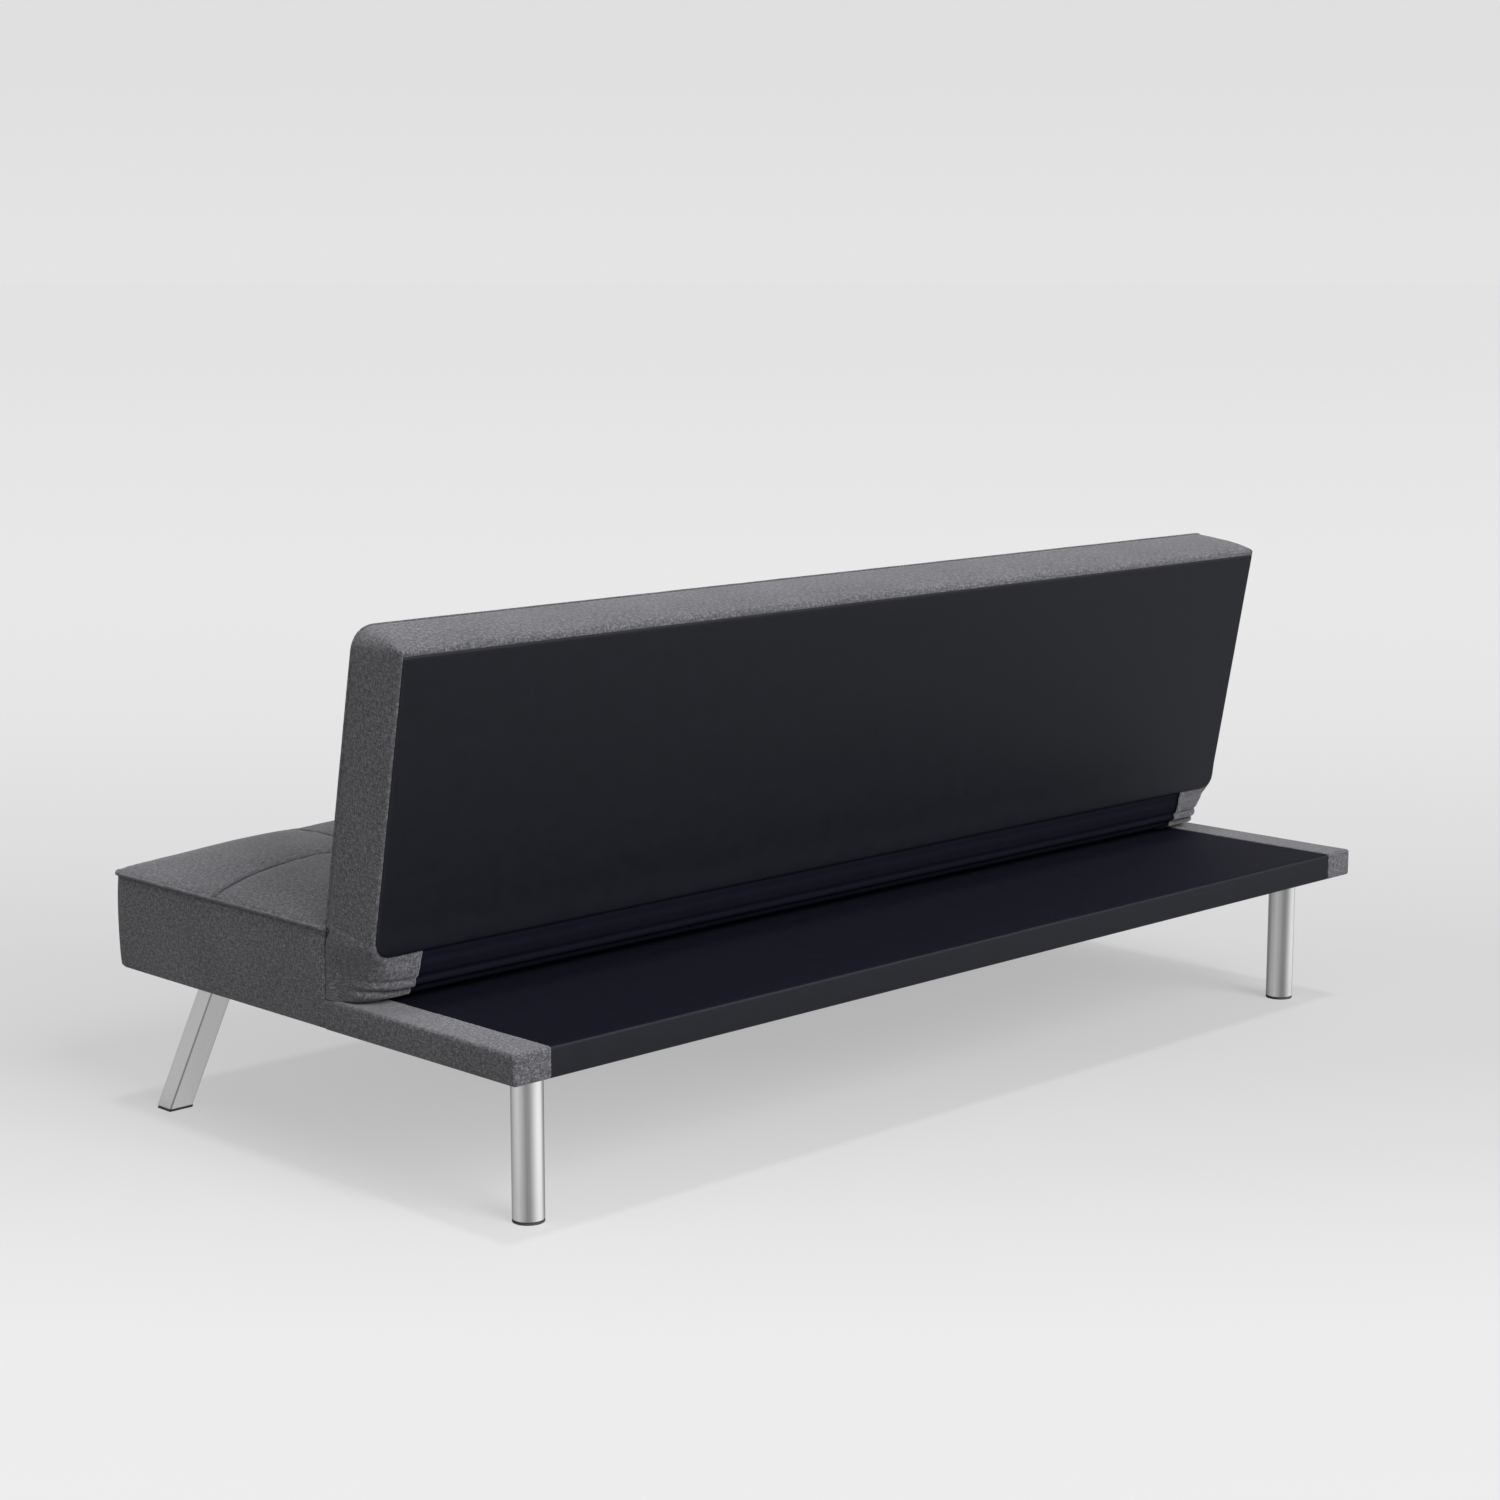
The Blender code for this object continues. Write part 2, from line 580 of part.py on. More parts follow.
def make_pawl(name, side, axis):
    """A pawl in its own axis's coordinates: a round hub and a straight nose."""
    x0, x1 = span(side, *RATCHET_X)
    _, nose = pawl_nose()
    reach = nose - Vector((PAWL_PIVOT.y, PAWL_PIVOT.z))
    heading = math.degrees(math.atan2(reach.y, reach.x))
    forward = reach.normalized()
    towards = Vector((-forward.y, forward.x))
    outline = arc((0.0, 0.0), 0.0065, heading + 70, heading + 290, 8)
    nose_shape = ((-0.002, -0.0075), (0.0018, -0.0045), (0.0018, 0.0), (-0.0015, 0.0), (-0.0045, -0.0040))
    for ahead, up in nose_shape:
        point = reach + forward * ahead + towards * up
        outline.append((point.x, point.y))
    bm = bmesh.new()
    add_prism(bm, outline, x0, x1)
    pawl = add_object(f"pawl_{name}", bm, "zinc_steel", axis)
    drill(pawl, [(side * RATCHET_X[0], 0, 0)], (side, 0, 0), PAWL_PIN + GAP, 0.010)


def make_ratchet(name, side, axis):
    """A toothed disc on the backrest's arm, with a notch for each backrest position."""
    x0, x1 = span(side, *RATCHET_X)
    world_angle, _ = pawl_nose()
    start = math.degrees(world_angle + LEAN)
    half, flank = 10.0, 1.5
    notches = [(start + step - half, start + step + half) for step in RECLINE_STEPS]
    notches[0] = (notches[0][0] - FORWARD_TRAVEL, notches[0][1])
    floor = RATCHET_RADIUS - NOTCH_DEPTH
    outline = []
    for low, high in notches:
        outline += [(low - flank, RATCHET_RADIUS), (low, floor), (high, floor),
                    (high + flank, RATCHET_RADIUS)]
    for i in range(36):
        angle = start + 10.0 * i
        if not any(low - flank - 1.0 < turn < high + flank + 1.0
                   for low, high in notches for turn in (angle - 360.0, angle, angle + 360.0)):
            outline.append((angle, RATCHET_RADIUS))
    outline = sorted((angle % 360.0, radius) for angle, radius in outline)
    points = [(r * math.cos(math.radians(a)), r * math.sin(math.radians(a))) for a, r in outline]
    bm = bmesh.new()
    add_prism(bm, points, x0, x1)
    ratchet = add_object(f"ratchet_disc_{name}", bm, "zinc_steel", axis)
    drill(ratchet, [(side * RATCHET_X[0], 0, 0)], (side, 0, 0), PIVOT_PIN + GAP, 0.010)


def make_arm(name, side, axis):
    x0, x1 = span(side, *ARM_X)
    outline = arc((0.0, 0.0), 0.018, 100, 325, 11)
    outline += [(0.0430, 0.0400), (0.0430, 0.1250), (0.0215, 0.1250), (0.0215, 0.0400), (0.0170, 0.0330)]
    bm = bmesh.new()
    add_prism(bm, outline, x0, x1)
    arm = add_object(f"hinge_arm_{name}", bm, "zinc_steel", axis)
    drill(arm, [(side * ARM_X[0], 0, 0)], (side, 0, 0), PIVOT_PIN + GAP, 0.010)


# ---- backrest, in the slab's own coordinates: x, n towards its rear face, u up the slab ----
FRAME_N = (0.0190, 0.0430)
PANEL_N = (0.0470, BACK_HALF_THICK)
WEB_N = FRAME_N[0] - GAP - WEB / 2
FOAM_N = WEB_N - WEB / 2 - GAP
BACK_INNER = BACK_TOP - SKIN - 0.0007
RAIL_TOP = BACK_INNER - 0.0060   # the wood stands clear of the slab's soft rear edge
RAIL_U = 0.036


def slab_rings(inset, levels, bottom=BACK_BOTTOM):
    """Rings round the slab's outline at levels along n. The upper corners are round in front and
    tighten towards the rear."""
    rings = []
    for level_inset, n in levels:
        corner = 0.030 - 0.22 * max(n + BACK_HALF_THICK, 0.0) - inset
        ring, = inset_rings(HALF_LENGTH - inset, bottom, BACK_TOP - inset, 0.006, corner,
                            ((level_inset, n),))
        rings.append([(x, n, u) for x, u, n in ring])
    return rings


def make_back_frame(axis):
    inner_x = ARM_X[0] - 0.0005
    pieces = {
        "back_bottom_rail": ((-inner_x, RAIL_U), (inner_x, RAIL_U + 0.030)),
        "back_top_rail": ((-STILE_X[0] + GAP, RAIL_TOP - 0.030), (STILE_X[0] - GAP, RAIL_TOP)),
        "back_mid_stile": ((-0.020, RAIL_U + 0.030 + GAP), (0.020, RAIL_TOP - 0.030 - GAP)),
    }
    for name, ((x0, u0), (x1, u1)) in pieces.items():
        bm = bmesh.new()
        add_box(bm, (x0, FRAME_N[0], u0), (x1, FRAME_N[1], u1))
        add_object(name, bm, "pine", axis)
    for name, side in SIDES:
        x0, x1 = span(side, *STILE_X)
        bm = bmesh.new()
        add_box(bm, (x0, FRAME_N[0], RAIL_U), (x1, FRAME_N[1], BACK_TOP - 0.030))
        add_object(f"back_stile_{name}", bm, "pine", axis)
    add_web("back_webbing", (0.15, 0.27), INNER_X - 0.004, RAIL_U + 0.008, BACK_INNER - 0.030,
            lambda x, u: (x, WEB_N, u), axis)


def make_back_upholstery(axis):
    inset = SKIN + 0.0006
    front = -BACK_HALF_THICK
    bm = bmesh.new()
    bridge_rings(bm, slab_rings(inset, ((0.0, FOAM_N), (0.0, front + 0.013), (0.006, front + 0.006),
                                        (0.024, front + inset)), BACK_BOTTOM + 0.001))
    add_object("back_foam", bm, "foam", axis)
    bm = bmesh.new()
    loops = bridge_rings(bm, slab_rings(0.0, ((0.0, BACK_HALF_THICK), (0.0, front + 0.011),
                                              (0.006, front + 0.004), (0.024, front))), close_ends=False)
    bm.faces.new(loops[-1])
    cover = add_object("back_cover", bm, "grey_fabric", axis)
    solidify_inwards(cover, SKIN)
    below = bmesh.new()
    add_box(below, (-INNER_X, front + SKIN + GAP, BACK_BOTTOM - 0.01),
            (INNER_X, BACK_HALF_THICK + 0.01, BACK_BOTTOM + 0.004))
    cut_away(cover, below)
    bm = bmesh.new()
    rings = inset_rings(INNER_X, BACK_BOTTOM, BACK_INNER, 0.024, 0.0065,
                        ((0.0, PANEL_N[0]), (0.0, PANEL_N[1])))
    bridge_rings(bm, [[(x, n, u) for x, u, n in ring] for ring in rings])
    add_object("back_panel", bm, "black_lining", axis)
    edge = 0.0023
    outline = rounded_rectangle(HALF_LENGTH - edge, BACK_BOTTOM + edge, BACK_TOP - edge, 0.004, 0.028)
    add_piping("back_piping", [(x, front + edge, u) for x, u in outline], 0.0018, axis)


def make_boot(axis):
    """The gathered fabric boot round the hinge line, as a soft roll with a slot for each hinge."""
    top = BACK_BOTTOM - 0.001
    outline = [(BOOT_RADIUS, top), (-BOOT_RADIUS, top)] + arc((0.0, 0.0), BOOT_RADIUS, 180, 360, 12)
    bm = bmesh.new()
    add_prism(bm, outline, -HALF_LENGTH, HALF_LENGTH)
    boot = add_object("hinge_boot", bm, "black_lining", axis, round_piece=True)
    far, web = BOOT_RADIUS + 0.01, -0.0220
    slot = ((-far, -far), (far, -far), (far, far), (web, far), (web, 0.005), (-far, 0.005))
    slots = bmesh.new()
    for _, side in SIDES:
        x0, x1 = span(side, *BOOT_GAP_X)
        add_prism(slots, slot, x0, x1)
    cut_away(boot, slots)


def main():
    for old in list(bpy.data.objects):
        bpy.data.objects.remove(old, do_unlink=True)
    make_base_frame()
    make_deck()
    make_suspension()
    make_seat()
    for name, side in SIDES:
        make_rear_leg(name, side)
        make_front_leg(name, side)
        make_bracket(name, side)
        make_pins(name, side)
        pawl_axis = add_axis(f"pawl_axis_{name}", PAWL_PIVOT)
        make_pawl(name, side, pawl_axis)
    make_leg_bolts()
    back_axis = add_axis("backrest_axis", PIVOT, -LEAN)
    for name, side in SIDES:
        make_arm(name, side, back_axis)
        make_ratchet(name, side, back_axis)
    make_back_frame(back_axis)
    make_back_upholstery(back_axis)
    make_boot(back_axis)


main()
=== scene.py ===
"""Looks of the click-clack sofa bed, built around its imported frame. Metres, +Z up, +X along the
length, front at -Y. The backrest's pieces are shaped in slab coordinates: x, n towards the slab's
rear face and u up the slab from the hinge axis."""
import json
import math

import bmesh
import bpy
import numpy as np
from mathutils import Matrix, Vector


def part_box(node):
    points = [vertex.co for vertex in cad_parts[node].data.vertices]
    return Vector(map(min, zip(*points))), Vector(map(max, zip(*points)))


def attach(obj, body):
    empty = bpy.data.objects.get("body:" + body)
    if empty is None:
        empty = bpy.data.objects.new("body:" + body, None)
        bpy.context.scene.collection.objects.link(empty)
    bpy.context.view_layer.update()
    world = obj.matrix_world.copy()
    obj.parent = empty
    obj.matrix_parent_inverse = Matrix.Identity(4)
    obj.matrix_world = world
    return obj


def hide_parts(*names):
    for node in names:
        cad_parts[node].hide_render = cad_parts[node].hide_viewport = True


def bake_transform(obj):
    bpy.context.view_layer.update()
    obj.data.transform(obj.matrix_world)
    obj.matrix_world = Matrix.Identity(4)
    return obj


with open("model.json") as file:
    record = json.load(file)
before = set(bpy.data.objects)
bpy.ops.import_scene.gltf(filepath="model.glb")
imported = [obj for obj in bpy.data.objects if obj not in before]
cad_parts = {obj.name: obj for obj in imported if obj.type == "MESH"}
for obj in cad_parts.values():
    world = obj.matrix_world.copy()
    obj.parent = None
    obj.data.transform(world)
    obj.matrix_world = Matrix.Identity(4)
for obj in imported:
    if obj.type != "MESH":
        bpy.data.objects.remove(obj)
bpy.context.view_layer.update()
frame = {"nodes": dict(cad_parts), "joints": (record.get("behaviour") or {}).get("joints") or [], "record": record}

# ---- places taken from the frame ----
RECLINE = next(j for j in frame["joints"] if j["name"] == "backrest_recline")
PIVOT = np.array(RECLINE["pos_m"])
LEAN = math.radians(90.0 - RECLINE["range_deg"][1])   # the bed position lays the slab flat
SLAB = np.array(((1, 0, 0), (0, math.cos(LEAN), math.sin(LEAN)), (0, -math.sin(LEAN), math.cos(LEAN))))
HALF_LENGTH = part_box("seat_cover")[1].x
SEAT_FRONT, SEAT_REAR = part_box("seat_cover")[0].y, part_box("seat_cover")[1].y
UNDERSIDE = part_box("seat_cover")[0].z
SEAT_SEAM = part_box("seat_piping")[0].z - 0.0038
DECK_LOW, DECK_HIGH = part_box("deck_cover")
SIDES = (("left", 1.0), ("right", -1.0))


def to_slab(points):
    """World points as (x, n, u)."""
    return (np.asarray(points, float) - PIVOT * (0, 1, 1)) @ SLAB


def from_slab(points):
    return np.asarray(points, float) @ SLAB.T + PIVOT * (0, 1, 1)


back_points = to_slab([v.co for v in frame["nodes"]["back_cover"].data.vertices])
BACK_FRONT, BACK_REAR = back_points[:, 1].min(), back_points[:, 1].max()
BACK_BOTTOM, BACK_TOP = back_points[:, 2].min(), back_points[:, 2].max()
BACK_SEAM = BACK_FRONT + 0.0015   # depth of the seam round the slab's front
BACK_FACE = BACK_REAR - 0.0050    # rear face of the slab's stuffing, under the lining

# ---- looks' own dimensions ----
SEAT_CROWN = 0.0395            # crown's rise above the seat's side seam
SEAT_HEM = 0.0250              # radius of the seat's lower front edge
COVER_HALF = HALF_LENGTH - 0.0012   # half-length of the two covers at their seams
COLUMNS = [0.29 * step for step in (-2, -1, 0, 1, 2)]   # the crosswise seams
SEAT_ROW = SEAT_FRONT + (SEAT_REAR - SEAT_FRONT) / 2   # the lengthwise seams
BACK_ROW = (BACK_BOTTOM + BACK_TOP) / 2
CELL = 0.010                   # mesh spacing of the big fabric faces
FIN = 0.0028                   # height of a pinched seam
PUFF_LIMIT = 0.009             # how far a cover may swell between its seams
SEAM_OFFSETS = (-0.0080, -0.0034, -0.0013, 0.0, 0.0013, 0.0034, 0.0080)   # mesh lines at a seam
WELT_STEP = 0.006              # mesh spacing along a welt
WELT_SIDES = 10


# ---- small kit ----
def linked(name, data):
    made = bpy.data.objects.new(name, data)
    bpy.context.scene.collection.objects.link(made)
    return made


def mesh_piece(name, points, faces, material, closed=True):
    """A smooth mesh object; a closed one gets its faces turned outwards."""
    mesh = bpy.data.meshes.new(name)
    mesh.from_pydata([tuple(map(float, p)) for p in points], [], [tuple(map(int, f)) for f in faces])
    mesh.materials.append(material)
    mesh.shade_smooth()
    if closed:
        shape = bmesh.new()
        shape.from_mesh(mesh)
        bmesh.ops.recalc_face_normals(shape, faces=shape.faces[:])
        shape.to_mesh(mesh)
        shape.free()
    made = linked(name, mesh)
    return made


def read(collection, key, width=1, kind=float):
    """A property of every vertex, face or corner of a mesh, as an array."""
    flat = np.zeros(len(collection) * width, kind)
    collection.foreach_get(key, flat)
    return flat if width == 1 else flat.reshape(-1, width)


def fabric_coordinates(piece, to_local=None):
    """A UV map in metres: each face takes its two in-plane axes, so threads run straight on it."""
    mesh = piece.data
    co, normals = read(mesh.vertices, "co", 3), read(mesh.polygons, "normal", 3)
    if to_local is not None:
        normals = to_local(normals + PIVOT * (0, 1, 1))
        co = to_local(co)
    planes = np.array(((1, 2), (0, 2), (0, 1)))[np.abs(normals).argmax(axis=1)]
    planes = np.repeat(planes, read(mesh.polygons, "loop_total", 1, int), axis=0)
    flat = np.take_along_axis(co[read(mesh.loops, "vertex_index", 1, int)], planes, axis=1)
    mesh.uv_layers.new(name="weave").data.foreach_set("uv", flat.ravel())


def travelled(points, axis=0):
    """Distance from the first point along each line of points that runs along an axis."""
    steps = np.linalg.norm(np.diff(points, axis=axis), axis=-1)
    return np.concatenate([np.zeros_like(steps.take([0], axis)), np.cumsum(steps, axis=axis)], axis=axis)


def cloth_coordinates(piece, grid):
    """A UV map in metres that follows a grid of points, for cloth that bends round a corner."""
    u, v = travelled(grid, 1), travelled(grid, 0)
    spread = np.column_stack([(u - u[:, -1:]).ravel(), -v.ravel()])
    corners = read(piece.data.loops, "vertex_index", 1, int)
    piece.data.uv_layers.new(name="weave").data.foreach_set("uv", spread[corners].ravel())


def mark(piece, values, name="painted_dark_line"):
    """Store a value at each point: by default how dark a painted line is there, painted shade at a seam's foot or
    a painted dark reflection along a leg's rounded edge;
    the legs also store how light their painted reflection is."""
    padded = np.zeros(len(piece.data.vertices))
    padded[:len(values)] = values
    piece.data.attributes.new(name, "FLOAT", "POINT").data.foreach_set("value", padded)


def quads(rows, columns, wrap=False):
    """Faces of a grid whose points run row by row."""
    index = np.arange(rows * columns).reshape(rows, columns)
    if wrap:
        index = np.hstack([index, index[:, :1]])
    corners = index[:-1, :-1], index[:-1, 1:], index[1:, 1:], index[1:, :-1]
    return np.stack(corners, axis=2).reshape(-1, 4).tolist()


def smoothstep(low, high, value):
    t = np.clip((value - low) / (high - low), 0.0, 1.0)
    return t * t * (3.0 - 2.0 * t)


def grid_lines(low, high, seams):
    """Evenly spaced lines with extra ones that carry each pinched seam."""
    lines = list(np.linspace(low, high, int(round((high - low) / CELL)) + 1))
    for seam in seams:
        lines = [v for v in lines if abs(v - seam) > 0.0115]
        lines += [seam + offset for offset in SEAM_OFFSETS]
    return np.array(sorted(lines))


def seam_relief(distance):
    """A pinched seam's section: a thin fin standing in a shallow valley."""
    d = np.abs(distance)
    return FIN * np.exp(-(d / 0.0012) ** 2) - 0.0016 * np.exp(-(d / 0.0050) ** 2)


def seam_painted_shade(distance):
    """Strength of the painted shade at a seam's foot, beside its fin."""
    return np.interp(np.abs(distance), (0.0, 0.0013, 0.0034, 0.0075), (0.45, 1.0, 0.45, 0.0))


def round_corners(x, v, half_x, low, high, low_radius, high_radius):
    """Map a rectangle's grid points so that its corners become round."""
    middle, half_v = (low + high) / 2, (high - low) / 2
    radius = np.where(v > middle, high_radius, low_radius)
    dx = np.clip((np.abs(x) - (half_x - radius)) / radius, 0.0, 1.0)
    dv = np.clip((np.abs(v - middle) - (half_v - radius)) / radius, 0.0, 1.0)
    ax = (half_x - radius) + radius * dx * np.sqrt(1 - dv ** 2 / 2)
    av = (half_v - radius) + radius * dv * np.sqrt(1 - dx ** 2 / 2)
    in_corner = (dx > 0) & (dv > 0)
    return (np.where(in_corner, np.sign(x) * ax, x),
            np.where(in_corner, middle + np.sign(v - middle) * av, v))


def boundary(rows, columns):
    """Grid indices once round the edge of a rows by columns grid."""
    index = np.arange(rows * columns).reshape(rows, columns)
    return [*index[0], *index[1:, -1], *index[-1, -2::-1], *index[-2:0:-1, 0]]


def closed_form(top, rows, columns, rings):
    """Points and faces of a closed form: a grid on top, rings of points that carry its edge down
    and round, and one face over the last ring."""
    faces, previous = quads(rows, columns), np.array(boundary(rows, columns))
    for number in range(len(rings)):
        current = len(top) + len(previous) * number + np.arange(len(previous))
        sides = previous, np.roll(previous, -1), np.roll(current, -1), current
        faces += np.column_stack(sides).tolist()
        previous = current
    return np.vstack([top, *rings]), faces + [previous.tolist()]


def margins(x, v, half_x, low, high):
    """Distances of a grid's points from its ends, its low side, its high side and the nearest."""
    sides = half_x - np.abs(x), v - low, high - v
    return (*sides, np.minimum.reduce(sides))


def joined(*axes):
    """Points from their coordinates, each an array or one number."""
    return np.stack(np.broadcast_arrays(*axes), axis=-1)


def unit(vectors):
    return vectors / np.maximum(np.linalg.norm(vectors, axis=1, keepdims=True), 1e-9)


# ---- cloth ----
def blown_puff(name, xs, vs, x_edges, v_edges):
    """How far a cover swells between its seams, for every pair of grid lines: a flat sheet, sewn down on
    its seams, is blown up by its filling."""
    coarse, frames = 0.012, 20
    cx, cv = (np.linspace(v[0], v[-1], int(round((v[-1] - v[0]) / coarse)) + 1) for v in (xs, vs))
    grid_x, grid_v = np.meshgrid(cx, cv)
    mesh = bpy.data.meshes.new(name)
    points = joined(grid_x, grid_v, 0.0).reshape(-1, 3)
    mesh.from_pydata([tuple(p) for p in points.tolist()], [], quads(len(cv), len(cx)))
    sheet = linked(name, mesh)
    sewn = sheet.vertex_groups.new(name="sewn")
    near = [np.abs(np.subtract.outer(points[:, k], edges)).min(axis=1) < coarse * 0.51
            for k, edges in enumerate((x_edges, v_edges))]
    sewn.add([int(i) for i in np.nonzero(near[0] | near[1])[0]], 1.0, "REPLACE")
    cloth = sheet.modifiers.new("cloth", "CLOTH")
    for key, value in {"quality": 6, "mass": 0.25, "tension_stiffness": 25, "compression_stiffness": 25,
                       "shear_stiffness": 8, "bending_stiffness": 0.6, "vertex_group_mass": "sewn",
                       "use_pressure": True, "uniform_pressure_force": 4.0, "shrink_min": -0.012}.items():
        setattr(cloth.settings, key, value)
    cloth.settings.effector_weights.gravity = 0.0
    cloth.collision_settings.use_collision = False
    cloth.point_cache.frame_start, cloth.point_cache.frame_end = 1, frames
    scene = bpy.context.scene
    for number in range(1, frames + 1):
        scene.frame_set(number)
    done = sheet.evaluated_get(bpy.context.evaluated_depsgraph_get()).data
    heights = np.array([v.co.z for v in done.vertices]).reshape(grid_x.shape)
    bpy.data.objects.remove(sheet, do_unlink=True)
    scene.frame_set(1)
    if heights.sum() < 0:
        heights = -heights
    heights = PUFF_LIMIT * np.tanh(heights / PUFF_LIMIT)
    along_x = np.array([np.interp(xs, cx, row) for row in heights])
    return np.array([np.interp(vs, cv, column) for column in along_x.T]).T


def puff_of(name, xs, vs, x_edges, v_edges):
    return blown_puff(name, xs, vs, x_edges, v_edges)


# ---- materials ----
class Nodes:
    """A short way to write the node tree of a material or a world."""

    def __init__(self, owner):
        owner.use_nodes = True
        self.owner, self.tree = owner, owner.node_tree
        self.shader = next(n for n in self.tree.nodes if n.type in ("BSDF_PRINCIPLED", "BACKGROUND"))

    def put(self, inputs, node):
        """Link outputs to a node's sockets, or set constants on them."""
        for key, value in inputs.items():
            socket = node.inputs[key]
            if isinstance(value, bpy.types.NodeSocket):
                self.tree.links.new(value, socket)
            else:
                socket.default_value = value

    def set(self, **inputs):
        self.put({key.replace("_", " "): value for key, value in inputs.items()}, self.shader)

    def add(self, kind, inputs, **settings):
        node = self.tree.nodes.new("ShaderNode" + kind)
        for key, value in settings.items():
            setattr(node, key, value)
        self.put(inputs, node)
        return node.outputs

    def on_cloth(self, across, down):
        source = self.add("UVMap", {}, uv_map="weave")["UV"]
        return self.add("Mapping", {"Vector": source, "Scale": (across, down, 1.0)})["Vector"]

    def in_space(self, *scale):
        source = self.add("TexCoord", {})["Object"]
        return self.add("Mapping", {"Vector": source, "Scale": scale})["Vector"]

    def attribute(self, name):
        return self.add("Attribute", {}, attribute_name=name)["Fac"]

    def noise(self, vector, detail=2.0, roughness=0.5):
        return self.add("TexNoise", {"Vector": vector, "Scale": 1.0, "Detail": detail,
                                     "Roughness": roughness})["Fac"]

    def math(self, operation, a, b):
        return self.add("Math", {0: a, 1: b}, operation=operation)["Value"]

    def total(self, *weighted, plus=None):
        """The sum of outputs, each with its weight, and of a last term without one."""
        terms = [self.math("MULTIPLY", output, weight) for output, weight in weighted]
        if plus is not None:
            terms.append(plus)
        while len(terms) > 1:
            terms[:2] = [self.math("ADD", terms[0], terms[1])]
        return terms[0]

    def ramp(self, factor, *stops):
        node = self.add("ValToRGB", {"Fac": factor})["Color"].node
        while len(node.color_ramp.elements) < len(stops):
            node.color_ramp.elements.new(0.5)
        for element, (position, colour) in zip(node.color_ramp.elements, stops):
            element.position, element.color = position, (*colour, 1.0)
        return node.outputs["Color"]

    def bump(self, height, strength, distance):
        self.set(Normal=self.add("Bump", {"Height": height, "Strength": strength,
                                          "Distance": distance})["Normal"])

    def threads(self, pitch):
        """Height of a plain weave: threads both ways that pass over and under each other."""
        parts = self.add("SeparateXYZ", {"Vector": self.on_cloth(2 * math.pi / pitch, 2 * math.pi / pitch)})
        return self.math("MULTIPLY", *(self.math("SINE", parts[axis], 0.0) for axis in ("X", "Y")))

    def darkened(self, colour, rest):
        """The colour, darker along the painted dark lines that a mesh stores: painted shade at seams and painted
        dark reflection on the legs' edges.
        """
        node = self.tree.nodes.new("ShaderNodeMix")
        node.data_type, node.blend_type = "RGBA", "MULTIPLY"
        for key, value in (("Factor_Float", self.attribute("painted_dark_line")), ("A_Color", colour),
                           ("B_Color", (rest, rest, rest, 1.0))):
            place = next(n for n, socket in enumerate(node.inputs) if socket.identifier == key)
            self.put({place: value}, node)
        return next(socket for socket in node.outputs if socket.identifier == "Result_Color")


def new_material(name):
    return Nodes(bpy.data.materials.new(name))


def heathered_fabric(name, dark, middle, light):
    """Grey melange weave: pale and dark yarns mixed in short slubs both ways."""
    nodes = new_material(name)
    across, down, speckle = (nodes.noise(nodes.on_cloth(*scale), 3, 0.66)
                             for scale in ((120, 400), (400, 120), (340, 340)))
    broad = nodes.noise(nodes.on_cloth(9, 9))
    mixed = nodes.total((across, 0.30), (down, 0.30), (speckle, 0.34), (broad, 0.06))
    colour = nodes.ramp(mixed, (0.425, dark), (0.50, middle), (0.58, light))
    # painted shade at the seams: the colour darkens where the mesh stores a painted dark line
    nodes.set(Base_Color=nodes.darkened(colour, 0.30), Roughness=nodes.total((speckle, 0.12), plus=0.84))
    nodes.bump(nodes.total((nodes.threads(0.0022), 0.5), (mixed, 1.6)), 0.50, 0.0006)
    nodes.set(Sheen_Weight=0.11, Sheen_Roughness=0.45, Specular_IOR_Level=0.25)
    return nodes.owner


def smooth_lining(name, dark, light, roughness, gloss):
    """Black lining: fine threads, a faint nap, and soft long waves where it is pulled tight."""
    nodes = new_material(name)
    mottle = nodes.noise(nodes.on_cloth(40, 40), 3, 0.55)
    thread = nodes.noise(nodes.on_cloth(1500, 260), 2, 0.6)
    factor = nodes.total((mottle, 0.45), (thread, 0.55))
    nodes.set(Base_Color=nodes.ramp(factor, (0.35, dark), (0.65, light)),
              Roughness=nodes.total((mottle, 0.10), plus=roughness - 0.05))
    pull = nodes.noise(nodes.on_cloth(2.4, 7.0))
    nodes.bump(nodes.total((nodes.threads(0.0011), 0.05), plus=pull), 0.35, 0.004)
    nodes.set(Specular_IOR_Level=gloss)
    return nodes.owner


def brushed_metal(name, dark, light, roughness, streaks, paints_reflection=False):
    """Plated steel with fine drawn lines along the leg and slight smudges. A finish that paints its reflection
    takes its lightness
    from a value stored at each point: painted reflection, with light streaks and dark bands round a leg."""
    nodes = new_material(name)
    lines = nodes.noise(nodes.in_space(*streaks), 3, 0.6)
    smudge = nodes.noise(nodes.in_space(14, 14, 9))
    shade = nodes.total((lines, 0.6), (smudge, 0.4))
    if paints_reflection:
        # painted reflection: the colour runs from dark to light by the stored streaks and bands
        painted_reflection = nodes.attribute("painted_reflection")
        wander = nodes.math("MULTIPLY", nodes.math("SUBTRACT", shade, 0.5), 0.16)
        tinted = nodes.ramp(nodes.math("ADD", painted_reflection, wander), (0.0, dark), (1.0, light))
    else:
        tinted = nodes.ramp(shade, (0.25, dark), (0.75, light))
    # painted dark reflection along the front legs' rounded edges, and a little over their faces, where the mesh
    # stores a painted dark line
    nodes.set(Base_Color=nodes.darkened(tinted, 0.22),
              Roughness=nodes.total((shade, 0.12), plus=roughness - 0.06))
    nodes.bump(lines, 0.06, 0.0002)
    nodes.set(Metallic=1.0)
    return nodes.owner


def grained_wood(name, dark, light):
    """Planed wood: long fine grain along X over a broader figure."""
    nodes = new_material(name)
    grain = nodes.noise(nodes.in_space(6, 130, 130), 4, 0.6)
    figure = nodes.noise(nodes.in_space(3, 22, 22))
    nodes.set(Base_Color=nodes.ramp(nodes.total((grain, 0.55), (figure, 0.45)), (0.3, dark), (0.7, light)))
    nodes.bump(grain, 0.3, 0.0005)
    nodes.set(Roughness=0.62)
    return nodes.owner


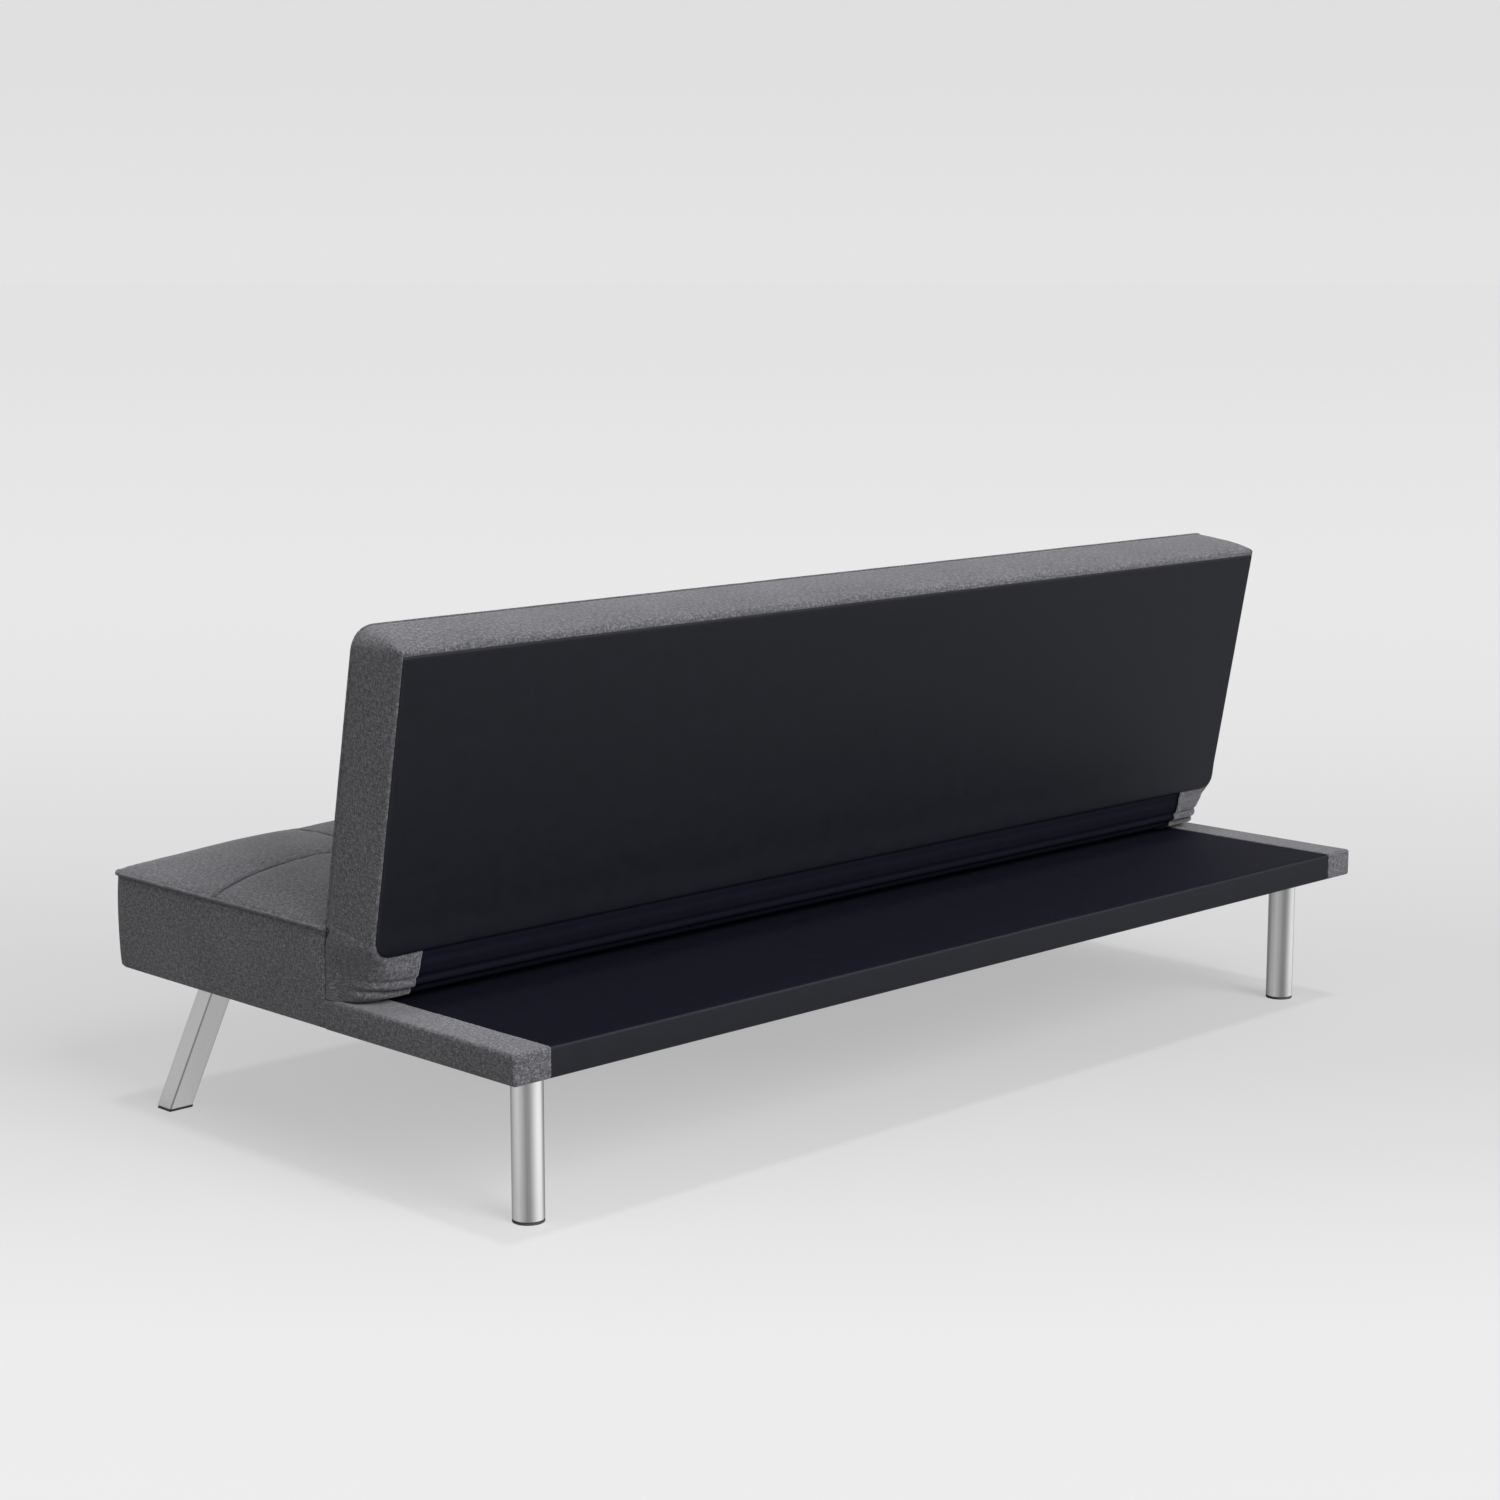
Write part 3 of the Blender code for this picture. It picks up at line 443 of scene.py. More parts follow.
def grained_matter(name, dark, light, size, roughness, relief):
    """Foam, felt, webbing and rubber: a speckled matt surface with grain of the given size."""
    nodes = new_material(name)
    grain = nodes.noise(nodes.in_space(1 / size, 1 / size, 1 / size), 3, 0.6)
    nodes.set(Base_Color=nodes.ramp(grain, (0.3, dark), (0.7, light)))
    nodes.bump(grain, 0.5, relief)
    nodes.set(Roughness=roughness)
    return nodes.owner


GREY = heathered_fabric("grey_weave", (0.0165, 0.0165, 0.0182), (0.0375, 0.0375, 0.0400),
                        (0.078, 0.078, 0.0835))
BLACK = smooth_lining("black_lining", (0.0008, 0.0011, 0.0024), (0.0016, 0.0021, 0.0040), 0.50, 0.165)
# a duller copy of the black lining; on the deck its top takes this one as painted shade, and its rear face the
# glossier one above as painted light
DECK_BLACK = smooth_lining("deck_lining", (0.0009, 0.0010, 0.0030), (0.0017, 0.0018, 0.0048), 0.74, 0.055)
# the legs' chrome paints its reflection from the value stored at each point
CHROME = brushed_metal("satin_chrome", (0.02, 0.02, 0.022), (1.0, 1.0, 1.0), 0.33, (700, 700, 10), True)
PLATE = brushed_metal("satin_plate", (0.46, 0.46, 0.48), (0.56, 0.56, 0.58), 0.34, (300, 300, 300))
ZINC = brushed_metal("zinc_plate", (0.48, 0.47, 0.45), (0.62, 0.61, 0.58), 0.42, (300, 300, 300))
FINISH = {"grey_fabric": GREY, "black_lining": BLACK, "satin_chrome": PLATE, "zinc_steel": ZINC}
for make, name, *look in (
        (grained_wood, "pine", (0.42, 0.27, 0.14), (0.66, 0.47, 0.27)),
        (grained_wood, "plywood", (0.36, 0.24, 0.13), (0.55, 0.40, 0.24)),
        (grained_matter, "foam", (0.62, 0.56, 0.38), (0.80, 0.75, 0.55), 0.0025, 0.95, 0.0008),
        (grained_matter, "felt", (0.14, 0.14, 0.15), (0.30, 0.31, 0.32), 0.0015, 1.0, 0.0006),
        (grained_matter, "webbing", (0.012, 0.012, 0.012), (0.045, 0.045, 0.045), 0.0020, 0.85, 0.0006),
        (grained_matter, "black_rubber", (0.006, 0.006, 0.006), (0.018, 0.018, 0.018), 0.0012, 0.75, 0.0002)):
    FINISH[name] = make(name, *look)
for part in frame["record"]["subparts"]:
    node = frame["nodes"][part["node"]]
    node.data.materials.clear()
    node.data.materials.append(FINISH[part["material_slot"]])


# ---- stuffed fabric ----
def softmin(*values):
    """Smooth minimum of values that run from 0 to 1."""
    total = sum(np.maximum(v, 1e-6) ** -3.0 for v in values) - (len(values) - 1)
    return total ** (-1.0 / 3.0)


def rise(distance, reach, power):
    """A crown's climb from 0 at a sewn edge to 1 at its reach, steep at first."""
    t = np.clip(distance / reach, 0.0, 1.0)
    return (1.0 - (1.0 - t) ** power) ** (1.0 / power)


def ripple(a, b, seed, size):
    """Slow unevenness of stuffed fabric over a and b, from -1 to 1 and the same on every run."""
    random = np.random.default_rng(seed)
    total = np.zeros(np.broadcast(a, b).shape)
    for _ in range(14):
        angle, phase = random.uniform(0, math.pi), random.uniform(0, 2 * math.pi)
        step = size * random.uniform(0.7, 2.2)
        total = total + np.sin((a * math.cos(angle) + b * math.sin(angle)) * 2 * math.pi / step + phase)
    return total / 14.0


def edge_lines(low, high, seams=()):
    """Grid lines with extra ones close to both edges, where the cloth turns."""
    near = (0.0012, 0.003, 0.0055)
    extra = [low + d for d in near] + [high - d for d in near]
    return np.array(sorted({*grid_lines(low, high, seams), *extra}))


def on_seams(section, x, v, row):
    """A seam's section over a grid, for each crosswise seam and for the lengthwise one."""
    return [section(x - seam) for seam in COLUMNS] + [section(v - row)]


def outward_normals(loop):
    """Unit outward normals, in the plane, of a closed loop of 2-D points."""
    tangent = unit(np.roll(loop, -1, axis=0) - np.roll(loop, 1, axis=0))
    normal = joined(tangent[:, 1], -tangent[:, 0])
    inwards = np.mean(np.sum(normal * (loop - loop.mean(axis=0)), axis=1)) < 0
    return -normal if inwards else normal


def along_path(path, distances):
    """A 2-D path's points at given distances from its start."""
    return joined(*(np.interp(distances, travelled(path), axis) for axis in path.T))


def even_loop(loop):
    """A closed loop of 2-D points at even steps, and each point's distance along it."""
    loop = np.vstack([loop, loop[:1]])
    distances = np.arange(0, travelled(loop)[-1], WELT_STEP)
    return along_path(loop, distances), distances


def welt(name, path, radius):
    """A grey welt swept along a closed path of points, with a radius at each."""
    tangent = unit(np.roll(path, -1, axis=0) - np.roll(path, 1, axis=0))
    side = unit(np.cross(tangent, (0.0, 0.0, 1.0)))
    top = np.cross(side, tangent)
    turns = np.linspace(0, 2 * math.pi, WELT_SIDES, endpoint=False)
    points = [path + radius[:, None] * (math.cos(a) * side + math.sin(a) * top) for a in turns]
    rows = np.arange(len(path) * WELT_SIDES).reshape(-1, WELT_SIDES)
    ahead = np.roll(rows, -1, axis=0)
    faces = np.stack([rows, ahead, np.roll(ahead, -1, axis=1), np.roll(rows, -1, axis=1)], axis=2)
    made = mesh_piece(name, np.stack(points, axis=1).reshape(-1, 3), faces.reshape(-1, 4),
                      GREY)
    fabric_coordinates(made)
    return made


def wall_bow(t):
    """A stuffed side's outward bow, 0 at its two edges and 1 half way."""
    return np.clip(np.sin(np.pi * np.clip(t, 0.0, 1.0)), 0.0, 1.0) ** 0.8


def slab_bow(n):
    """The backrest's end wall's bow at a depth through the slab."""
    return 0.0019 * wall_bow((n - BACK_SEAM) / (BACK_FACE - BACK_SEAM))


# ---- seat ----
def make_seat():
    half, front, rear = COVER_HALF, SEAT_FRONT + 0.0008, SEAT_REAR + 0.0050
    bottom = UNDERSIDE + 0.0004
    # the crowned, tufted top
    xs, ys = edge_lines(-half, half, COLUMNS), edge_lines(front, rear, [SEAT_ROW])
    grid_x, grid_y = np.meshgrid(xs, ys)
    from_end, from_front, from_rear, inner = margins(grid_x, grid_y, half, front, rear)
    crown = softmin(rise(from_end, 0.165, 1.62), rise(from_front, 0.095, 1.95),
                    rise(from_rear, 0.100, 1.95))
    crown *= 1 - 0.30 * np.exp(-(from_end / 0.20) ** 2 - (from_front / 0.16) ** 2)
    puff = puff_of("seat_sheet", xs, ys, [-half, *COLUMNS, half], [front, SEAT_ROW, rear])
    puff = puff * smoothstep(0.0, 0.10, np.minimum(from_end, from_front))
    relief = sum(on_seams(seam_relief, grid_x, grid_y, SEAT_ROW)) * smoothstep(0.0, 0.03, inner + 0.004)
    height = SEAT_SEAM + SEAT_CROWN * crown + 0.75 * puff - 0.004 * crown + relief
    height += 0.0011 * ripple(grid_x, grid_y, 3, 0.11) * crown
    x, y = round_corners(grid_x, grid_y, half, front, rear, 0.018, 0.003)
    top = joined(x, y, height).reshape(-1, 3)
    # its walls: a pinch under the welt, a slow bow, a bulge beside the boot and a round lower edge
    loop = top[boundary(len(ys), len(xs))][:, :2]
    normal = outward_normals(loop)
    front_share, end_share = np.clip(-normal[:, 1], 0, 1) ** 2, normal[:, 0] ** 2
    radius = 0.0215 * front_share + 0.0040 * end_share + 0.003 * np.clip(normal[:, 1], 0, 1) ** 2
    behind = rear - loop[:, 1]
    bulge = np.exp(-((behind - 0.017) / 0.012) ** 2) - 0.25 * np.exp(-(behind / 0.004) ** 2)
    levels = []
    for t in np.linspace(0.0, 1.0, 15)[1:]:
        z = SEAT_SEAM + (bottom + radius - SEAT_SEAM) * t
        swell = 0.0022 * (front_share + end_share) * wall_bow(t) - 0.0010 * math.exp(-(t / 0.05) ** 2)
        wave = 0.0011 * ripple(loop[:, 0] + loop[:, 1], z, 8, 0.16) * math.sin(math.pi * t)
        wave = wave * smoothstep(0.04, 0.12, behind)
        wave = wave + 0.0024 * end_share * bulge * smoothstep(0.0, 0.3, t)
        levels.append((z, -swell - wave))
    for a in np.linspace(0, math.pi / 2, 7)[1:]:
        levels.append((bottom + radius * (1 - math.sin(a)), radius * (1 - math.cos(a))))
    for lift, inset in ((0.0, 0.012), (0.0004, 0.026)):
        levels.append((bottom + lift, radius + inset))
    rings = [joined(*(loop - normal * inset[:, None]).T, z) for z, inset in levels]
    spots, faces = closed_form(top, len(ys), len(xs), rings)
    down_y, down_z = front + SEAT_HEM - spots[:, 1], bottom + SEAT_HEM - spots[:, 2]
    away = np.maximum(np.hypot(down_y, down_z), 1e-6)
    pull = np.where((down_y > 0) & (down_z > 0) & (away > SEAT_HEM), SEAT_HEM / away, 1.0)
    spots[:, 1] = front + SEAT_HEM - down_y * pull
    spots[:, 2] = bottom + SEAT_HEM - down_z * pull
    made = mesh_piece("seat_cushion", spots, faces, GREY)
    # painted shade along the seat's seams
    mark(made, np.maximum.reduce(on_seams(seam_painted_shade, grid_x, grid_y, SEAT_ROW)).ravel())
    fabric_coordinates(made)
    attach(made, "base")
    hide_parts("seat_cover", "seat_foam")
    # the welt: the seam's own folded edge, standing a little out of the wall, thicker at corners
    path, along = even_loop(loop)
    stand = 0.0009 + 0.0004 * ripple(along, 0, 21, 0.05)
    thick = 0.0023 + 0.0004 * ripple(along, 0, 5, 0.03)
    for corner_x in (-half, half):
        for corner_y in (front, rear):
            away = np.hypot(path[:, 0] - corner_x * 0.994, path[:, 1] - corner_y * 0.99)
            thick = thick + 0.0016 * np.exp(-(away / 0.009) ** 2)
    path = path + outward_normals(path) * stand[:, None]
    edge = welt("seat_welt", joined(*path.T, SEAT_SEAM + 0.0006), thick)
    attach(edge, "base")
    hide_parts("seat_piping")


make_seat()


# ---- backrest ----
def make_backrest():
    half, low, high, thickness = COVER_HALF, BACK_BOTTOM, BACK_TOP - 0.0012, BACK_FACE - BACK_SEAM
    # the tufted front
    xs, us = edge_lines(-half, half, COLUMNS), edge_lines(low, high, [BACK_ROW])
    grid_x, grid_u = np.meshgrid(xs, us)
    from_end, from_low, from_top, inner = margins(grid_x, grid_u, half, low, high)
    crown = softmin(rise(from_end, 0.075, 1.9), rise(from_top, 0.060, 1.9), rise(from_low, 0.050, 1.9))
    puff = puff_of("back_sheet", xs, us, [-half, *COLUMNS, half], [low, BACK_ROW, high])
    relief = sum(on_seams(seam_relief, grid_x, grid_u, BACK_ROW)) * smoothstep(0.0, 0.03, inner + 0.004)
    out = 0.0110 * crown + 0.55 * puff - 0.003 * crown + relief
    out = out * smoothstep(0.0, 0.075, from_low + 0.03)
    depth = BACK_SEAM - (out + 0.0008 * ripple(grid_x, grid_u, 4, 0.12) * crown)

    def outline(n):
        """The slab's section at a depth: round corners above and square ones below."""
        corner = float(np.interp(n, (BACK_FRONT, 0.0, 0.030, BACK_REAR), (0.028, 0.018, 0.008, 0.006)))
        x, u = round_corners(grid_x, grid_u, half, low, high, 0.0001, corner)
        return joined(x, u).reshape(-1, 2)

    # its walls, the ridge round its rear face, and the rear face itself
    ring, face, rings = boundary(len(us), len(xs)), outline(BACK_SEAM), []
    levels = [(BACK_SEAM + thickness * t, None) for t in np.linspace(0.0, 1.0, 14)[1:]]
    levels += [(BACK_FACE, turn) for turn in (*np.linspace(0, math.pi / 2, 7)[1:], 2.0, 3.0, 4.0)]
    for deep, turn in levels:
        loop = outline(deep)[ring]
        normal = outward_normals(loop)
        top_side = np.clip(normal[:, 1], 0, 1) ** 2
        ridge = 0.0034 + 0.0056 * top_side
        if turn is None:
            n = deep - ridge * (deep - BACK_SEAM) / thickness
            wave = 0.0007 * ripple(loop[:, 0] - loop[:, 1], n, 12, 0.14)
            wave = wave * smoothstep(0.07, 0.13, loop[:, 1])
            inset = -slab_bow(n) - wave * wall_bow((n - BACK_SEAM) / thickness)
        elif turn < 2.0:
            n, inset = BACK_FACE - ridge * (1 - math.sin(turn)), ridge * (1 - math.cos(turn))
            inset = inset - 0.0010 * math.sin(2 * turn) * top_side
        else:
            n, inset = BACK_FACE - 0.0003 * turn, ridge + 0.008 * (turn - 1.5)
        tilt = -top_side * 0.0030 * smoothstep(0.0, BACK_REAR, n)
        moved = loop - normal * inset[:, None] + joined(0, tilt)
        rings.append(joined(moved[:, 0], n, moved[:, 1]))
    top = joined(face[:, 0], depth.ravel(), face[:, 1])
    points, faces = closed_form(top, len(us), len(xs), rings)
    made = mesh_piece("back_cushion", from_slab(points), faces, GREY)
    # painted shade along the backrest's seams
    mark(made, np.maximum.reduce(on_seams(seam_painted_shade, grid_x, grid_u, BACK_ROW)).ravel())
    on_edge = points[:, 2] < low + 0.0004   # the lower edges stay crisp
    sharp = [bool(on_edge[list(edge.vertices)].all()) for edge in made.data.edges]
    made.data.attributes.new("sharp_edge", "BOOLEAN", "EDGE").data.foreach_set("value", sharp)
    fabric_coordinates(made, to_slab)
    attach(made, "backrest")
    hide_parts("back_cover", "back_foam")
    path, along = even_loop(face[ring])
    stand = 0.0004 + 0.0003 * ripple(along, 0, 22, 0.05)
    path = path + outward_normals(path) * stand[:, None]
    placed = from_slab(joined(path[:, 0], BACK_SEAM - 0.0006, path[:, 1]))
    edge = welt("back_welt", placed, 0.0015 + 0.0002 * ripple(along, 0, 6, 0.03))
    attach(edge, "backrest")
    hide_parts("back_piping")


make_backrest()


def make_back_panel():
    """Lining pulled over the slab's rear: square corners above, round ones below, a lip at the bottom."""
    side, low, high = HALF_LENGTH - 0.0040, 0.0225, BACK_TOP - 0.0120
    middle, half_u = (low + high) / 2, (high - low) / 2
    xs, us = edge_lines(-side, side), edge_lines(low, high)
    grid_x, grid_u = np.meshgrid(xs, us)
    from_end, from_low, from_top, inner = margins(grid_x, grid_u, side, low, high)
    x, u = round_corners(grid_x, grid_u, side, low, high, 0.024, 0.0045)
    rear = BACK_FACE + 0.0017
    roll = 0.0016 * (1 - rise(inner, 0.004, 2.0))
    lip = 0.0022 * smoothstep(0.045, 0.0, from_low)
    swell = 0.0012 * softmin(rise(from_end, 0.25, 2.0), rise(from_top, 0.12, 2.0),
                             rise(from_low, 0.12, 2.0))
    wave = 0.0006 * ripple(grid_x * 0.4, grid_u, 31, 0.20)
    top = joined(x, rear + swell + wave - roll + lip, u).reshape(-1, 3)
    ring, rings = boundary(len(us), len(xs)), []
    for depth, inset in ((0.0022, 0.0002), (0.0030, 0.0030)):
        turned = top[ring]
        turned[:, 0] = turned[:, 0] * (side - inset) / side
        turned[:, 1] = rear - depth
        turned[:, 2] = middle + (turned[:, 2] - middle) * (half_u - inset) / half_u
        rings.append(turned)
    points, faces = closed_form(top, len(us), len(xs), rings)
    made = mesh_piece("back_lining", from_slab(points), faces, BLACK)
    fabric_coordinates(made, to_slab)
    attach(made, "backrest")
    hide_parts("back_panel")


make_back_panel()


# ---- boot round the hinge line ----
# its rear profile, from the slab's rear edge down to the deck and in under it, as (y, z) from the axis
PROFILE = np.array(((0.0501, 0.0235), (0.0488, 0.0160), (0.0490, 0.0050), (0.0480, -0.0060),
                    (0.0468, -0.0140), (0.0462, -0.0200), (0.0440, -0.0270), (0.0392, -0.0350),
                    (0.0310, -0.0415), (0.0200, -0.0462), (0.0080, -0.0486), (-0.0060, -0.0500),
                    (-0.0180, -0.0512)))
PROFILE = along_path(PROFILE, np.linspace(0, travelled(PROFILE)[-1], 44))
for _ in range(2):
    PROFILE[1:-1] = (PROFILE[:-2] + 2 * PROFILE[1:-1] + PROFILE[2:]) / 4
STEPS = unit(np.gradient(PROFILE, axis=0))
OUTWARD = joined(-STEPS[:, 1], STEPS[:, 0])
DOWN = travelled(PROFILE)
# gathered folds: a dent at a distance down the profile, and a small roll under it
FOLDS = sum(depth * (np.exp(-((DOWN - at) / 0.0037) ** 2)
                     - 0.30 * np.exp(-((DOWN - at - 0.0072) / 0.0046) ** 2))
            for at, depth in ((0.0215, 0.0016), (0.0455, 0.0056), (0.0600, 0.0060)))


def strip_edge(z, sign):
    """Where the grey end gives way to lining, for a height over the hinge axis."""
    return np.interp(z, (-0.052, 0.03), (0.778, 0.762) if sign > 0 else (0.745, 0.7605))


def end_rows():
    """Rows of the boot's grey end: the front and rear points, the row's place in PROFILE (None on the
    slab's wall) and the rear corner's radius."""
    rows = []
    for u in (BACK_BOTTOM + 0.0045, BACK_BOTTOM - 0.0003):
        front, rear = from_slab([(0, BACK_SEAM, u), (0, BACK_FACE, u)])[:, 1:] - PIVOT[1:]
        rows.append((front, rear, None, 0.0034))
    z = PROFILE[:, 1]
    front = joined(np.interp(z, (-0.05, 0.001, 0.010, 0.018, 0.0235),
                             (-0.0575, -0.0575, -0.0530, -0.0440, -0.0415)),
                   np.interp(z, (-0.05, 0.000, 0.0235), (-0.0505, 0.012, 0.0395)))
    radius = np.interp(z, (-0.052, -0.049, -0.034, -0.013, 0.007, 0.018, 0.026),
                       (0.014, 0.020, 0.046, 0.039, 0.026, 0.010, 0.0036))
    return rows + list(zip(front, PROFILE, range(len(PROFILE)), radius))


def gusset_end(label, sign):
    """A grey end of the boot: along the end walls of slab and seat, then round the rear corner."""
    points = []
    for number, (front, rear, step, radius) in enumerate(end_rows()):
        length = np.linalg.norm(rear - front)
        radius = min(radius, 0.75 * length)
        edge = strip_edge(rear[1], sign)
        lay = 0.0 if number else -0.0012
        # along the wall, with a dip where the cloth is caught at the seat's corner
        t = np.linspace(0, 1, 18) * (length - radius)
        y, z = (front + np.outer(t / length, rear - front)).T
        depth = to_slab(joined(0, y + PIVOT[1], z + PIVOT[2]))[:, 1]
        wall = COVER_HALF + slab_bow(depth) + lay
        inset = 0.0085 * smoothstep(0.024, -0.010, z) * smoothstep(-0.050, -0.018, y)
        held = wall - 0.0040 * smoothstep(-0.036, -0.0550, y)
        near_seat = smoothstep(0.040, 0.026, z) * smoothstep(-0.026, -0.046, y)
        dip = 0.0065 * smoothstep(0.010, 0.026, z) * smoothstep(0.044, 0.034, z)
        dip = dip * np.exp(-(t / 0.006) ** 2)
        wall = (wall - inset) * (1 - near_seat) + held * near_seat - dip
        # round the corner, and along the rear to the lining
        face, turn = wall[-1], np.linspace(0, math.pi / 2, 12)[1:]
        run = (edge - 0.002 - face + radius) * np.linspace(0, 1, 14)[1:]
        along = np.concatenate([t, length - radius + radius * np.sin(turn), np.full(len(run), length)])
        out = np.concatenate([wall, face - radius * (1 - np.cos(turn)), face - radius + run])
        spot = front + np.outer(along / length, rear - front)
        if step is not None:
            turned = smoothstep(face + 0.002, face - 0.75 * radius, out)
            dent = FOLDS[step] * (1 - 0.45 * smoothstep(edge + 0.014, edge, out)) * turned
            spot -= dent[:, None] * OUTWARD[step]
            out = out - 0.60 * FOLDS[step] * smoothstep(0.36, 0.80, along / length) * (1 - turned)
        spot[:, 0] += 0.0016 * smoothstep(edge + 0.012, edge + 0.004, out)
        points.append(joined(sign * out, spot[:, 0] + PIVOT[1], spot[:, 1] + PIVOT[2]))
    faces = quads(len(points), len(points[0]))
    if sign < 0:
        faces = [face[::-1] for face in faces]
    made = mesh_piece("gusset_end_" + label, np.vstack(points), faces, GREY, closed=False)
    cloth_coordinates(made, np.array(points))
    return made


def thicken(piece, thickness, offset):
    shell = piece.modifiers.new("thickness", "SOLIDIFY")
    shell.thickness, shell.offset = thickness, offset


def make_gusset():
    # lining between the two grey ends
    share = np.linspace(-1.0, 1.0, 181)
    points = []
    for number, (y, z) in enumerate(PROFILE):
        x = np.interp(share, (-1, 1), (-strip_edge(z, -1), strip_edge(z, 1)))
        fold = (0.42 + 0.13 * smoothstep(0.50, 0.74, np.abs(x))) * FOLDS[number]
        wave = 0.0008 * ripple(x, z * 1.5, 41, 0.16) * np.clip((z + 0.050) / 0.01, 0, 1)
        points.append(joined(x, y - fold * OUTWARD[number, 0] + wave + PIVOT[1],
                             z - fold * OUTWARD[number, 1] + PIVOT[2]))
    band = mesh_piece("gusset_rear", np.vstack(points), quads(len(PROFILE), len(share)), DECK_BLACK,
                      closed=False)
    cloth_coordinates(band, np.array(points))
    ends = [gusset_end(label, sign) for label, sign in SIDES]
    for piece in (band, *ends):
        thicken(piece, 0.0008, -1.0)
        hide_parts("hinge_boot")
        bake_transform(piece)
    # front strip, from the seat's rear seam up to the slab's lower front edge
    start, end = PIVOT[1:] + (-0.0485, 0.012), PIVOT[1:] + (-0.0405, 0.044)
    xs = np.linspace(-HALF_LENGTH + 0.004, HALF_LENGTH - 0.004, 120)
    points = []
    for t in np.linspace(0, 1, 17):
        y, z = start + (end - start) * t
        y += 0.0014 * math.sin(2.5 * 2 * math.pi * t)   # two and a half small gathers
        y = y + 0.0008 * ripple(xs, t * 0.05, 51, 0.12)
        points.append(joined(xs, y, z))
    strip = mesh_piece("gusset_front", np.vstack(points), quads(len(points), len(xs)), GREY,
                       closed=False)
    fabric_coordinates(strip)
    thicken(strip, 0.0012, 0.0)
    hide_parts("hinge_boot")
    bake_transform(strip)


make_gusset()


# ---- deck, underside ----
def soft_box(low, high, radius, spacing):
    """A box's surface as a fine mesh whose edges and corners are rounded."""
    low, high = np.array(low, float), np.array(high, float)

    def lines(k):
        edges = np.linspace(0.0, 0.8, 5) * radius
        count = max(int(round((high[k] - low[k] - 2 * radius) / spacing)) + 1, 2)
        inner = np.linspace(low[k] + radius, high[k] - radius, count)
        return np.concatenate([low[k] + edges, inner, high[k] - edges[::-1]])

    points, faces, seen = [], [], {}
    for axis in range(3):
        a, b = [k for k in range(3) if k != axis]
        la, lb = lines(a), lines(b)
        for wall in (low[axis], high[axis]):
            grid = []
            for va in la:
                for vb in lb:
                    p = np.empty(3)
                    p[axis], p[a], p[b] = wall, va, vb
                    grid.append(seen.setdefault(tuple(np.round(p, 7)), len(points)))
                    if grid[-1] == len(points):
                        points.append(p)
            faces += [(grid[k], grid[n], grid[m], grid[l]) for k, l, m, n in quads(len(la), len(lb))]
    inner = np.clip(points, low + radius, high - radius)
    return inner + unit(points - inner) * radius, faces


def make_deck():
    low, high = np.array(DECK_LOW) + (-0.005, 0.0004, 0), np.array(DECK_HIGH) + (0.005, 0, 0)
    points, faces = soft_box(low, high, 0.0042, 0.014)
    on_top = points[:, 2] > high[2] - 0.0006
    inner = softmin(rise(high[1] - points[:, 1], 0.03, 2.0),
                    rise(high[0] - np.abs(points[:, 0]), 0.03, 2.0))
    points[:, 2] += np.where(on_top, 0.0005 * ripple(points[:, 0], points[:, 1], 61, 0.30) * inner, 0)
    rear = points[:, 1] > high[1] - 0.0006
    points[:, 1] += np.where(rear, 0.0005 * ripple(points[:, 0], points[:, 2], 62, 0.15), 0)
    lining = mesh_piece("deck_lining", points, faces, DECK_BLACK)
    lining.data.materials.append(BLACK)   # the rear face takes the glossier copy of the lining: painted light, lighter than the top
    for face in lining.data.polygons:
        face.material_index = 1 if face.normal.y > 0.6 else 0
    fabric_coordinates(lining)
    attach(lining, "base")
    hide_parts("deck_cover")
    for label, sign in SIDES:
        node = "deck_end_wrap_" + label
        low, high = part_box(node)
        low, high = np.array(low) + (0, 0.0004, 0), np.array(high) + (0, 0.0006, 0.0007)
        points, faces = soft_box(low, high, 0.0046, 0.009)
        x, y, z = points.T
        outer, on_top = np.abs(x) > HALF_LENGTH - 0.001, z > high[2] - 0.001
        points[:, 0] += sign * 0.0009 * ripple(y, z, 63, 0.10) * outer
        points[:, 2] += 0.0005 * ripple(points[:, 0], y, 64, 0.06) * on_top
        wrap = mesh_piece("deck_wrap_" + label, points, faces, GREY)
        fabric_coordinates(wrap)
        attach(wrap, "base")
        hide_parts(node)


make_deck()


# ---- legs ----
FRONT_SLOPE = (-0.168, 0.382)   # sideways and rearward travel for each metre of rise
FOOT = 0.0065                   # height over the floor where the front legs' slope is counted from
# the rear tube's profile, as radius and height: a rounded foot, the tube and a collar under the plate
TUBE_PROFILE = ((0.0186, 0.0), (0.0196, 0.0003), (0.0200, 0.0011), (0.0200, 0.1836), (0.0203, 0.1842),
                (0.0214, 0.1848), (0.0216, 0.1856), (0.0206, 0.1862), (0.0204, 0.1866))
# its painted reflection: how light its colour is painted, by the angle round it from the +X +Y corner, in degrees
TUBE_PAINTED_REFLECTION = ((-180, 0.50), (-130, 0.42), (-100, 0.34), (-84, 0.14), (-70, 0.30), (-53, 0.54), (-30, 0.66),
             (-14, 0.46), (0, 0.27), (12, 0.30), (24, 0.56), (34, 0.82), (44, 1.0), (57, 1.0), (67, 0.55),
             (80, 0.14), (95, 0.34), (180, 0.50))


def lofted(name, rings):
    """A chromed piece: rings of points joined into a closed form with sharp edges and flat ends."""
    count = len(rings[0])
    faces = quads(len(rings), count, wrap=True)
    faces += [tuple(range(count)), tuple(range((len(rings) - 1) * count, len(rings) * count))]
    made = mesh_piece(name, np.vstack(rings), faces, CHROME)
    made.data.set_sharp_from_angle(angle=math.radians(50))
    return made


